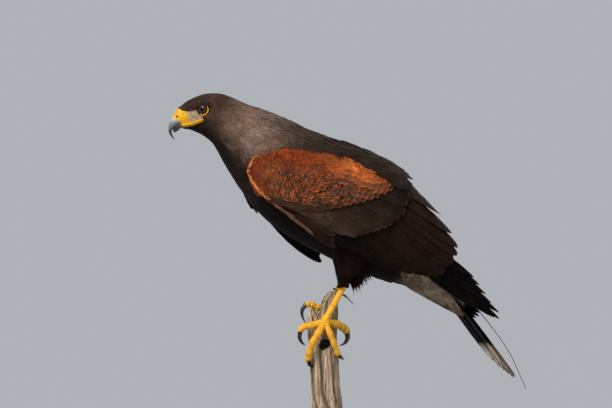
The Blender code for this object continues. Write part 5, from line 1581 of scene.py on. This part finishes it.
for side, name in SIDE_NAMES.items():
    dress(coat(f"brow_{name}", [*brow(side), bristles(side)], COAT_FINISH), "body_feather")

# %% [markdown]
# The bill is horn over bone: pale blue grey at its root, darker to the hook, and smooth, with faint
# growth lines. The cere is the waxy yellow skin over its root, with the nostrils. Both are one curve,
# drawn as a loft of egg-shaped sections, and the cere is cut off along its slanting edge.

# %% The curve of the bill
# Rows of: position, top x and z, bottom x and z, half width.
UPPER_BILL = [
    (0, -173.5, 407.6, -172.5, 384.0, 9.7), (1, -177.7, 405.4, -175.6, 383.6, 9.2),
    (2, -181.8, 400.7, -179.0, 382.6, 8.3), (3, -185.7, 393.0, -182.0, 381.2, 6.9),
    (4, -189.4, 386.7, -184.8, 379.2, 5.3), (5, -190.7, 378.9, -186.6, 376.2, 3.5),
    (6, -188.8, 372.1, -185.8, 372.2, 2.0), (7, -183.7, 366.7, -182.9, 367.4, 0.5),
]
LOWER_BILL = [
    (0, -171.5, 386.6, -171.0, 380.6, 8.6), (1, -176.3, 386.0, -175.6, 380.0, 7.6),
    (2, -179.6, 385.0, -178.6, 377.3, 6.4), (3, -182.6, 383.0, -182.4, 375.3, 4.4),
    (4, -184.6, 379.5, -184.6, 375.2, 1.8),
]
CERE_TOP, CERE_LOW = (-186.0, 393.2), (-173.0, 385.0)
NOSTRIL = (-179.6, 8.9, 393.2)


def bill_rings(rows, count, grow=0.0):
    """Egg-shaped rings along the bill, turned with the head."""
    turns = circle(48)
    positions, turns = np.meshgrid(np.linspace(0, len(rows) - 1, count), turns, indexing="ij")
    return turn_head(egg(rows, positions, turns, grow))


print("bill sections:", len(UPPER_BILL), "and", len(LOWER_BILL))

# %% [markdown]
# Horn is hard and polished by use. It darkens from root to tip, so its colour follows the height, and
# growth lines wander across that. The lower bill is redder, and painted darker as painted shade in the
# mouth. The nostrils are pits cut into the cere, each with a dark plug that is painted shade.

# %% The bill, cere and nostrils
def horn_finish(name, pale, middle, dark, high, low):
    """Polished horn that darkens downwards, from one height to another in millimetres."""
    made, tree, place = start_material(name, 0.32, Coat_Weight=0.3, Coat_Roughness=0.2)
    up = node(tree, "SeparateXYZ", (place,), out=2)
    drawn = node(tree, "Mapping", {"Vector": place, "Scale": (1, 1, 4)})
    lines = node(tree, "TexNoise", {"Vector": drawn, "Scale": 500, "Detail": 3})
    up = node(tree, "Math", (up, 2 * MM), operation="SUBTRACT")
    up = node(tree, "Math", (lines, 4 * MM, up), operation="MULTIPLY_ADD")
    half, tone = (high + low) / 2, paint(pale)
    for start, end, code in ((high, half, middle), (half, low, dark)):
        share = node(tree, "MapRange", (up, start * MM, end * MM), **STEP)
        tone = node(tree, "Mix", {0: share, 6: tone, 7: paint(code)}, **COLOURS)
    end_material(tree, tone, lines, 0.08, 0.4)
    return made


# The bill's horn: long soft highlights down its curve show how round and smooth it is.
horn = horn_finish("polished horn", "c3ced8", "6a737d", "0f1013", 394, 373)
# Horn at the mouth: warmer, and darker as painted shade in the gap of the mouth.
mouth_horn_in_painted_shade = horn_finish("horn at the mouth, darkened as painted shade", "8a5a50", "3a2c2b", "1a1719", 387, 377)
# The claws' horn: nearly black, told from the wood behind it by its highlights alone.
black_horn = horn_finish("black claw horn", "2a2c32", "15161a", "0c0c0f", 200, 90)

upper = loft("bill upper", bill_rings(UPPER_BILL, 100), horn)
lower = loft("bill_lower_horn", bill_rings(LOWER_BILL, 46), mouth_horn_in_painted_shade)
boolean(lower, [loft("bill room", bill_rings(UPPER_BILL, 100, grow=0.15))], "DIFFERENCE")
cere = loft("cere_skin", bill_rings(UPPER_BILL[:5], 60, grow=0.12), yellow_skin)
top, low = (turn_head(np.array([x, 0, z], float)) for x, z in (CERE_TOP, CERE_LOW))
along = unit(low - top)
forward = unit(np.cross(along, head_direction((0, 1, 0))))
forward = forward if forward[0] < 0 else -forward


def keep_side(obj, place, outward):
    """Cuts an object along a plane, closes it and keeps the part behind the plane."""
    bpy.ops.object.select_all(action="DESELECT")
    obj.select_set(True)
    bpy.context.view_layer.objects.active = obj
    bpy.ops.object.mode_set(mode="EDIT")
    bpy.ops.mesh.select_all(action="SELECT")
    bpy.ops.mesh.bisect(plane_co=tuple(place * MM), plane_no=tuple(outward), use_fill=True, clear_outer=True)
    bpy.ops.object.mode_set(mode="OBJECT")


keep_side(cere, top, forward)
pits = [turn_head(np.multiply(NOSTRIL, (1, side, 1))) for side in (LEFT, RIGHT)]
boolean(cere, [ball("nostril", pit, (1.7, 1.3, 1.3)) for pit in pits], "DIFFERENCE")
for side, pit in zip((LEFT, RIGHT), pits):
    inward = head_direction((0.1, -side, 0))
    # Painted shade: a dark plug in each pit stands for the shade inside the nostril.
    plug = ball(f"nostril_{SIDE_NAMES[side]}", pit + inward * 0.75, (1.6, 1.1, 1.2), lid_and_nostril_shade_skin)
    dress(plug, "scaled_skin")
upper.name = "bill_upper_horn"
dress(upper, "horn", "bill_upper")
dress(lower, "horn", "bill_lower")
dress(cere, "scaled_skin", "cere")

# %% [markdown]
# The smallest feathers run on over the root of the cere and end in a point. Each turns a little by
# chance, so that their edge looks grown and not cut.

# %% The feathers at the bill's root
# Rows of: position, length, width, step along, step round.
FOREHEAD_ROWS = [(0, 5.0, 1.7, 1.1, 1.0), (2, 3.0, 1.3, 0.9, 0.8)]


def forehead():
    """The smallest feathers, which run on over the root of the cere."""
    def surface(position, turn, lift=0.0):
        return turn_head(egg(UPPER_BILL, position, turn, lift))

    roots = rows_round(surface, 0.3, 1.8, FOREHEAD_ROWS)
    roots += chance.normal(0, 1, roots.shape) * (0.05, 0.04)
    turn = np.mod(roots[:, 1] + np.pi, 2 * np.pi) - np.pi
    reach = np.interp(roots[:, 0], (0, 0.6, 1.1, 1.5, 1.75), (1.3, 1.2, 0.95, 0.6, 0.1))
    roots = roots[np.abs(turn) < reach * chance.uniform(0.9, 1.05, len(roots))]
    length, width, _, _ = columns(FOREHEAD_ROWS, roots[:, 0])
    shares = np.linspace(0, 1, 6)
    lifts = rising(shares, -0.3, 0.25, 0.45)
    lifts = lifts + chance.normal(0, 0.06, (len(roots), 1)) * shares
    heading = np.pi + chance.normal(0, 0.15, len(roots))
    line, out = lay(surface, roots[:, 0], roots[:, 1], length, heading, shares, lifts)
    web = vary(np.broadcast_to(paint("44352d"), (len(roots), 3)), 0.12)
    patches = unrolled(roots[:, 1], 0.94 + roots[:, 0] / 60)
    return vanes(line, out, width, shares, patches, web, web * 1.15, 0.3, thick=0.06, ragged=0.5)


dress(coat("coat_forehead", [forehead()], COAT_FINISH), "body_feather")

# %% [markdown]
# Each leg below the feathers is scaled skin. The scutes are real relief here: the tube's radius swells
# and pinches along its front for every plate. The claws are smooth curved horn.

# %% Feet and claws
HOCK = {LEFT: (17.6, -16, 190), RIGHT: (22.5, 16.5, 194)}
FOOT = {LEFT: (-4.8, -14, 149), RIGHT: (3.5, 17.5, 167)}
# How thick the shank is from the hock to the foot.
SHANK_RADII = [(0, 4.1), (1, 3.6), (2, 4.0), (2.5, 5.3), (3, 4.6)]
# For each toe: its path from the foot, the path of its claw, and its thickness.
TOES = {
    LEFT: {
        "inner": ([(-8, -14, 147), (-19, -10.5, 144.5), (-27, -6.5, 143), (-31.5, -4, 139.5)],
                  [(-32.2, -3.6, 136.8), (-33, -3, 130), (-30, -2.5, 124), (-25.5, -2, 120.5)], 3.9),
        "middle": ([(-7, -18, 144), (-14, -22, 135), (-20.5, -21, 124), (-24, -17, 112), (-24.5, -13.5, 105)],
                   [(-24, -12.5, 103), (-22, -9.5, 98), (-18, -7, 95.5), (-14, -5.5, 94.5)], 4.0),
        "outer": ([(-2.5, -19, 143.5), (0, -22.5, 134), (5, -21.5, 122), (10, -17.5, 111.5)],
                  [(11.5, -16.5, 109), (15, -13.5, 106.5), (18, -10, 105), (20.5, -7, 103)], 3.5),
        "hind": ([(1, -13, 147), (11, -9, 145.5), (19, -5, 142.5), (24, -2, 138.5)],
                 [(25.3, -1.2, 136), (26.5, 0, 130), (23.5, 0.5, 124), (16.5, 1, 120)], 4.7),
    },
    RIGHT: {
        "inner": ([(-1, 15, 164), (-8, 11, 166), (-15.5, 9, 169.5), (-21.5, 8, 169.5)],
                  [(-23.5, 7.8, 169), (-27.5, 7.5, 163), (-27.5, 7, 155.5), (-23.5, 6.5, 147)], 3.8),
        "middle": ([(-1, 18, 165), (-6, 19.5, 166), (-10.5, 18, 161.5), (-13, 14.5, 154.5)],
                   [(-13.2, 13.3, 152.2), (-13, 10.5, 147), (-11, 7.5, 143.5), (-8, 5.5, 142)], 3.9),
        "outer": ([(2.5, 21, 163), (-1, 25.5, 156), (-4, 26, 146), (-6, 22.5, 137)],
                  [(-6.3, 21.5, 135), (-6.5, 18, 130.5), (-6, 14.5, 128.5), (-5.5, 11, 127.5)], 3.6),
        "hind": ([(6, 19.5, 166), (9.5, 20.5, 167), (12, 18, 167), (13, 14.5, 165)],
                 [(13, 13.3, 163), (12.8, 12.2, 158), (11, 11.4, 154.5), (8, 11, 153)], 3.9),
    },
}
CLAW_TAPER = (0.8, 1.0, 0.93, 0.82, 0.66, 0.4, 0.1)
TOE_UP = (0.3, 0.2, 1)


def scaled_tube(name, path, radii, around, plates, depth, start_up, shade=1.0):
    """A tube of scaled skin, with a row of raised plates along its front and seams between them painted
    darker as painted shade; shade darkens the whole tube as painted shade.
    """
    count = len(path)
    turns = circle(around)
    share = np.linspace(0, 1, count)[:, None]
    front = ramp(-0.35, 0.35, np.sin(turns))[None]
    seam = front * (2 * ((share * plates) % 1) - 1) ** 6
    rings = along_path(path, radii, around, start_up)
    middles = np.asarray(path)[:, None]
    rings = middles + (rings - middles) * (1 + depth * (front * 0.5 - seam))[..., None]
    # Painted shade: the seams are darkened, and the whole tube by shade.
    tones = mix(np.ones(3), paint("c48a4a"), 0.75 * seam) * shade
    return loft(name, rings, foot_skin, tones)


def leg(side):
    """The bare shank and the toes of one foot, as one closed piece."""
    hock, foot = np.array(HOCK[side], float), np.array(FOOT[side], float)
    down = unit(foot - hock)
    path = refine([hock - down * 6, hock + (foot - hock) * 0.35, foot - down * 9, foot + down * 3.5], 130)
    radii = smooth(SHANK_RADII, np.linspace(0, 3, 130))[..., 0]
    made = [scaled_tube("shank", path, radii, 32, 17, 0.07, (1, 0, 0))]
    for digit, (path, claw_path, thick) in TOES[side].items():
        start = foot + (np.array(path[0]) - foot) * 0.3
        long = refine([start, *path[1:], claw_path[0]], 130)
        joints = len(path)
        swell = 1 + 0.09 * np.cos(np.linspace(0, 2 * np.pi * joints, 130))
        taper = np.interp(np.linspace(0, 1, 130), (0, 0.9, 0.97, 1), (1.06, 0.92, 0.8, 0.45))
        # Painted shade: the hind toe is darker, behind the shank.
        shade = 0.72 if digit == "hind" else 1.0
        radii = thick * swell * taper
        made.append(scaled_tube("toe", long, radii, 28, 5 * joints, 0.12, TOE_UP, shade))
    first, *others = made
    return boolean(first, others, "UNION")


for side, name in SIDE_NAMES.items():
    foot = leg(side)
    foot.name = f"scaled_foot_{name}"
    dress(foot, "scaled_skin", f"tarsus_{name}", f"toes_{name}")
    for digit, (toe_path, path, thick) in TOES[side].items():
        first = np.array(path[0], float)
        inside = first + unit(np.array(toe_path[-1]) - first) * 2.2
        radii = np.interp(np.linspace(0, 6, 48), range(7), CLAW_TAPER) * thick * 0.76
        rings = along_path(refine([inside, *path], 48), radii, 20, TOE_UP)
        talon = loft(f"talon_{name}_{digit}", rings, black_horn)
        dress(talon, "horn", f"claw_{name}_{digit}")

# %% [markdown]
# The perch is a snag: dead wood without bark that sun and rain have turned grey, split, grooved along the
# grain and hollow where a branch rotted out. The grooves are real relief, parts of a dense loft's radius,
# and are painted darker with their depth as painted shade. Fibres and hair cracks are bump, from noise
# drawn out along the grain.

# %% The finish of the snag
# Weathered wood: dead matt, with dark cracks that lead the eye up along the grain.
weathered, tree, place = start_material("weathered grey wood", 0.88, Specular_IOR_Level=0.2)
# Rows of: stretch along the grain, scale, detail, distortion, for grain, fibres and cracks.
layers = []
for stretch, scale, detail, distortion in ((0.22, 70, 5, 0.5), (0.1, 330, 4, 0.0), (0.07, 120, 3, 0.2)):
    drawn = node(tree, "Mapping", {"Vector": place, "Scale": (3, 3, stretch)})
    inputs = {"Vector": drawn, "Scale": scale, "Detail": detail, "Distortion": distortion}
    layers.append(node(tree, "TexNoise", inputs))
grain, fibre, cracks = layers
crack = node(tree, "Math", (cracks, 0.5), operation="SUBTRACT")
crack = node(tree, "Math", (crack,), operation="ABSOLUTE")
crack = node(tree, "MapRange", (crack, 0.002, 0.014, 1.0, 0.0), **STEP)
share = node(tree, "MapRange", (grain, 0.36, 0.62), **STEP)
tone = node(tree, "Mix", {0: share, 6: paint("a08b77"), 7: paint("dac6ad")}, **COLOURS)
share = node(tree, "MapRange", (fibre, 0.38, 0.52, 0.45, 0.0), **STEP)
tone = node(tree, "Mix", {0: share, 6: tone, 7: paint("54453a")}, **COLOURS)
share = node(tree, "Math", (crack, 0.7), operation="MULTIPLY")
tone = node(tree, "Mix", {0: share, 6: tone, 7: paint("3a2d24")}, **COLOURS)
# The points' colours carry painted shade in the grooves and inside the hollow.
shade = node(tree, "Attribute", {}, out="Color", attribute_name="web")
tone = node(tree, "Mix", {0: 1.0, 6: tone, 7: shade}, blend_type="MULTIPLY", **COLOURS)
height = node(tree, "Math", (fibre, 0.6, grain), operation="MULTIPLY_ADD")
height = node(tree, "Math", (crack, -1.2, height), operation="MULTIPLY_ADD")
end_material(tree, tone, height, 1.0, 0.9)
print("wood layers:", len(layers))

# %% [markdown]
# The wood is built from three lengths: the stem, a thin shard and a taller spike that the split left
# standing. They are joined, and the rotted hollow is cut out of the stem below the foot. Its inside is
# painted dark, as painted shade.

# %% The shape of the snag
# Rows of: height, middle x, middle y, reach in x, reach in y.
PERCH_WOOD = {
    "stem": [
        (40, 1.6, 0, 18.4, 17.5), (62, 0.3, 0, 17.4, 17), (85, -1.6, 0, 17.2, 16.5),
        (108, -2.6, 0, 17.4, 16.2), (120, -3.2, 0, 16.6, 15.4), (131, -3.4, 1, 14.5, 12.5),
    ],
    "shard": [
        (110, -6, 4, 11, 9), (138, -10.5, 5.5, 11, 7), (153, -13, 6, 8.5, 5), (162.5, -14.5, 6, 5, 2.6),
    ],
    "spike": [
        (110, 3, 4, 11, 10), (135, 3.7, 3, 10.3, 8.5), (155, 4, 2, 11, 7), (170, 4.4, 1.5, 10.3, 5.5),
        (178, 5.8, 1.5, 8.4, 4), (184, 8.2, 1.5, 5, 2.6),
    ],
}


def split_wood(name, rows, around=200, count=170):
    """A length of split wood. The grooves are parts of its radius and wander as they rise. Its points are
    painted darker in the grooves, as painted shade.
    """
    heights = np.linspace(rows[0][0], rows[-1][0], count)
    x, y, long, wide = (v[:, None] for v in smooth(rows, heights).T)
    turns = circle(around)[None]
    wander = 0.25 * np.sin(heights / 21 + chance.uniform(0, 6)) + 0.1 * np.sin(heights / 8)
    wander = wander[:, None]
    groove = np.zeros((count, around))
    for waves in (5, 9, 14, 23, 37, 60):
        phase = chance.uniform(0, 6.3)
        drift = np.sin(heights / 13 + phase)[:, None]
        groove += np.sin(waves * (turns + wander) + phase + drift) / waves**0.6
    groove = groove / 1.2
    deep = ramp(0.35, 0.9, np.sin(7 * (turns + wander) + 2)) ** 6
    edge = 1 + 0.055 * groove - 0.09 * deep
    places = np.broadcast_arrays(
        x + long * edge * np.cos(turns), y + wide * edge * np.sin(turns), heights[:, None]
    )
    rings = np.stack(places, axis=-1)
    ragged = 1.4 * np.sin(turns * 11 + 1) + 1.6 * chance.normal(0, 0.35, (1, around))
    rings[-14:, :, 2] += np.linspace(0, 1, 14)[:, None] ** 2 * ragged
    # Painted shade: the points are darker in the grooves, most in the deep ones.
    tones = mix(np.full(3, 0.62), np.ones(3), ramp(-0.9, 0.5, groove))
    return loft(name, rings, weathered, tones * (1 - 0.55 * deep)[..., None])


wood = [split_wood(name, rows) for name, rows in PERCH_WOOD.items()]
perch = boolean(wood[0], wood[1:], "UNION")


def rotted(turns, share):
    """The uneven outline of the hollow, as shares of its radius."""
    broad = 0.16 * np.sin(2 * turns + 0.6) + 0.1 * np.sin(3 * turns + 2)
    return 1 + broad + 0.05 * np.sin(7 * turns + 5 * share)


path = refine([(-4.4, -24, 121.5), (-4.4, -17, 121.5), (-4.0, -10, 123), (-3.4, -5, 125)], 24)
radii = np.interp(np.linspace(0, 1, 24), (0, 0.35, 0.7, 1), (9.5, 7.2, 6.0, 1.5))
rings = along_path(path, radii, 40, (0, 0, 1), rotted)
# Painted shade: the hollow's inside darkens with depth.
dark = np.interp(path[:, 1], (-17, -11), (0.35, 0.06))
hollow = loft("hollow", rings, weathered, np.broadcast_to(dark[:, None, None], rings.shape))
boolean(perch, [hollow], "DIFFERENCE")
perch.name = "snag"
dress(perch, "snag_wood", "perch")

# %% [markdown]
# The rest keeps its shape from the solids and needs only a finish: the stand's wooden base and steel rod,
# the thin wire at the tail with its small box, and the tie round the far leg. Each recipe is the same:
# fine noise, drawn out along the grain or the brushing, moves the tone between two near colours and
# gives a trace of relief.

# %% The finishes of the stand, the tail wire and the leg tie
# Rows of: node, name, roughness, settings, scale, detail, stretch, range of the noise, two colours,
# depth and strength of the relief.
PLAIN_FINISHES = [
    # Oiled wood: a warm dark foot with a soft sheen, quieter than the bird.
    ("stand_base", "oiled walnut", 0.45, {"Coat_Weight": 0.15, "Coat_Roughness": 0.3},
     25, 5, (0.5, 5, 5), (0.35, 0.65), ("4a2f1f", "6d4a31"), 0.3, 0.4),
    # Brushed metal: fine lines round the rod spread its highlight.
    ("stand_rod", "brushed steel", 0.32, {"Metallic": 1.0},
     400, 3, (1, 1, 12), None, ("9a9b9d", "b9babc"), 0.05, 0.4),
    # Moulded plastic: an even dark satin, told from the feathers by its clean shine.
    ("tail_tag", "moulded black plastic", 0.4, {}, 900, 2, None, None, ("151516", "1f1f21"), 0.05, 0.3),
    # Coated wire: a thin grey line with one long highlight.
    ("tail_antenna", "coated steel wire", 0.35, {}, 900, 2, None, None, ("30353c", "4a505a"), 0.03, 0.3),
    # Waxed leather: dark, pored and nearly matt.
    ("leg_tie", "waxed black leather", 0.6, {}, 700, 3, None, None, ("1a1512", "2b2420"), 0.1, 0.5),
]
for target, name, roughness, settings, scale, detail, stretch, span, tones, *relief in PLAIN_FINISHES:
    made, tree, place = start_material(name, roughness, **settings)
    if stretch:
        place = node(tree, "Mapping", {"Vector": place, "Scale": stretch})
    grain = share = node(tree, "TexNoise", {"Vector": place, "Scale": scale, "Detail": detail})
    if span:
        share = node(tree, "MapRange", (grain, *span), **STEP)
    tone = node(tree, "Mix", {0: share, 6: paint(tones[0]), 7: paint(tones[1])}, **COLOURS)
    end_material(tree, tone, grain, *relief)
    kept_mesh = bpy.data.objects[target].data
    kept_mesh.materials.clear()
    kept_mesh.materials.append(made)
print("finished nodes:", len(PLAIN_FINISHES))
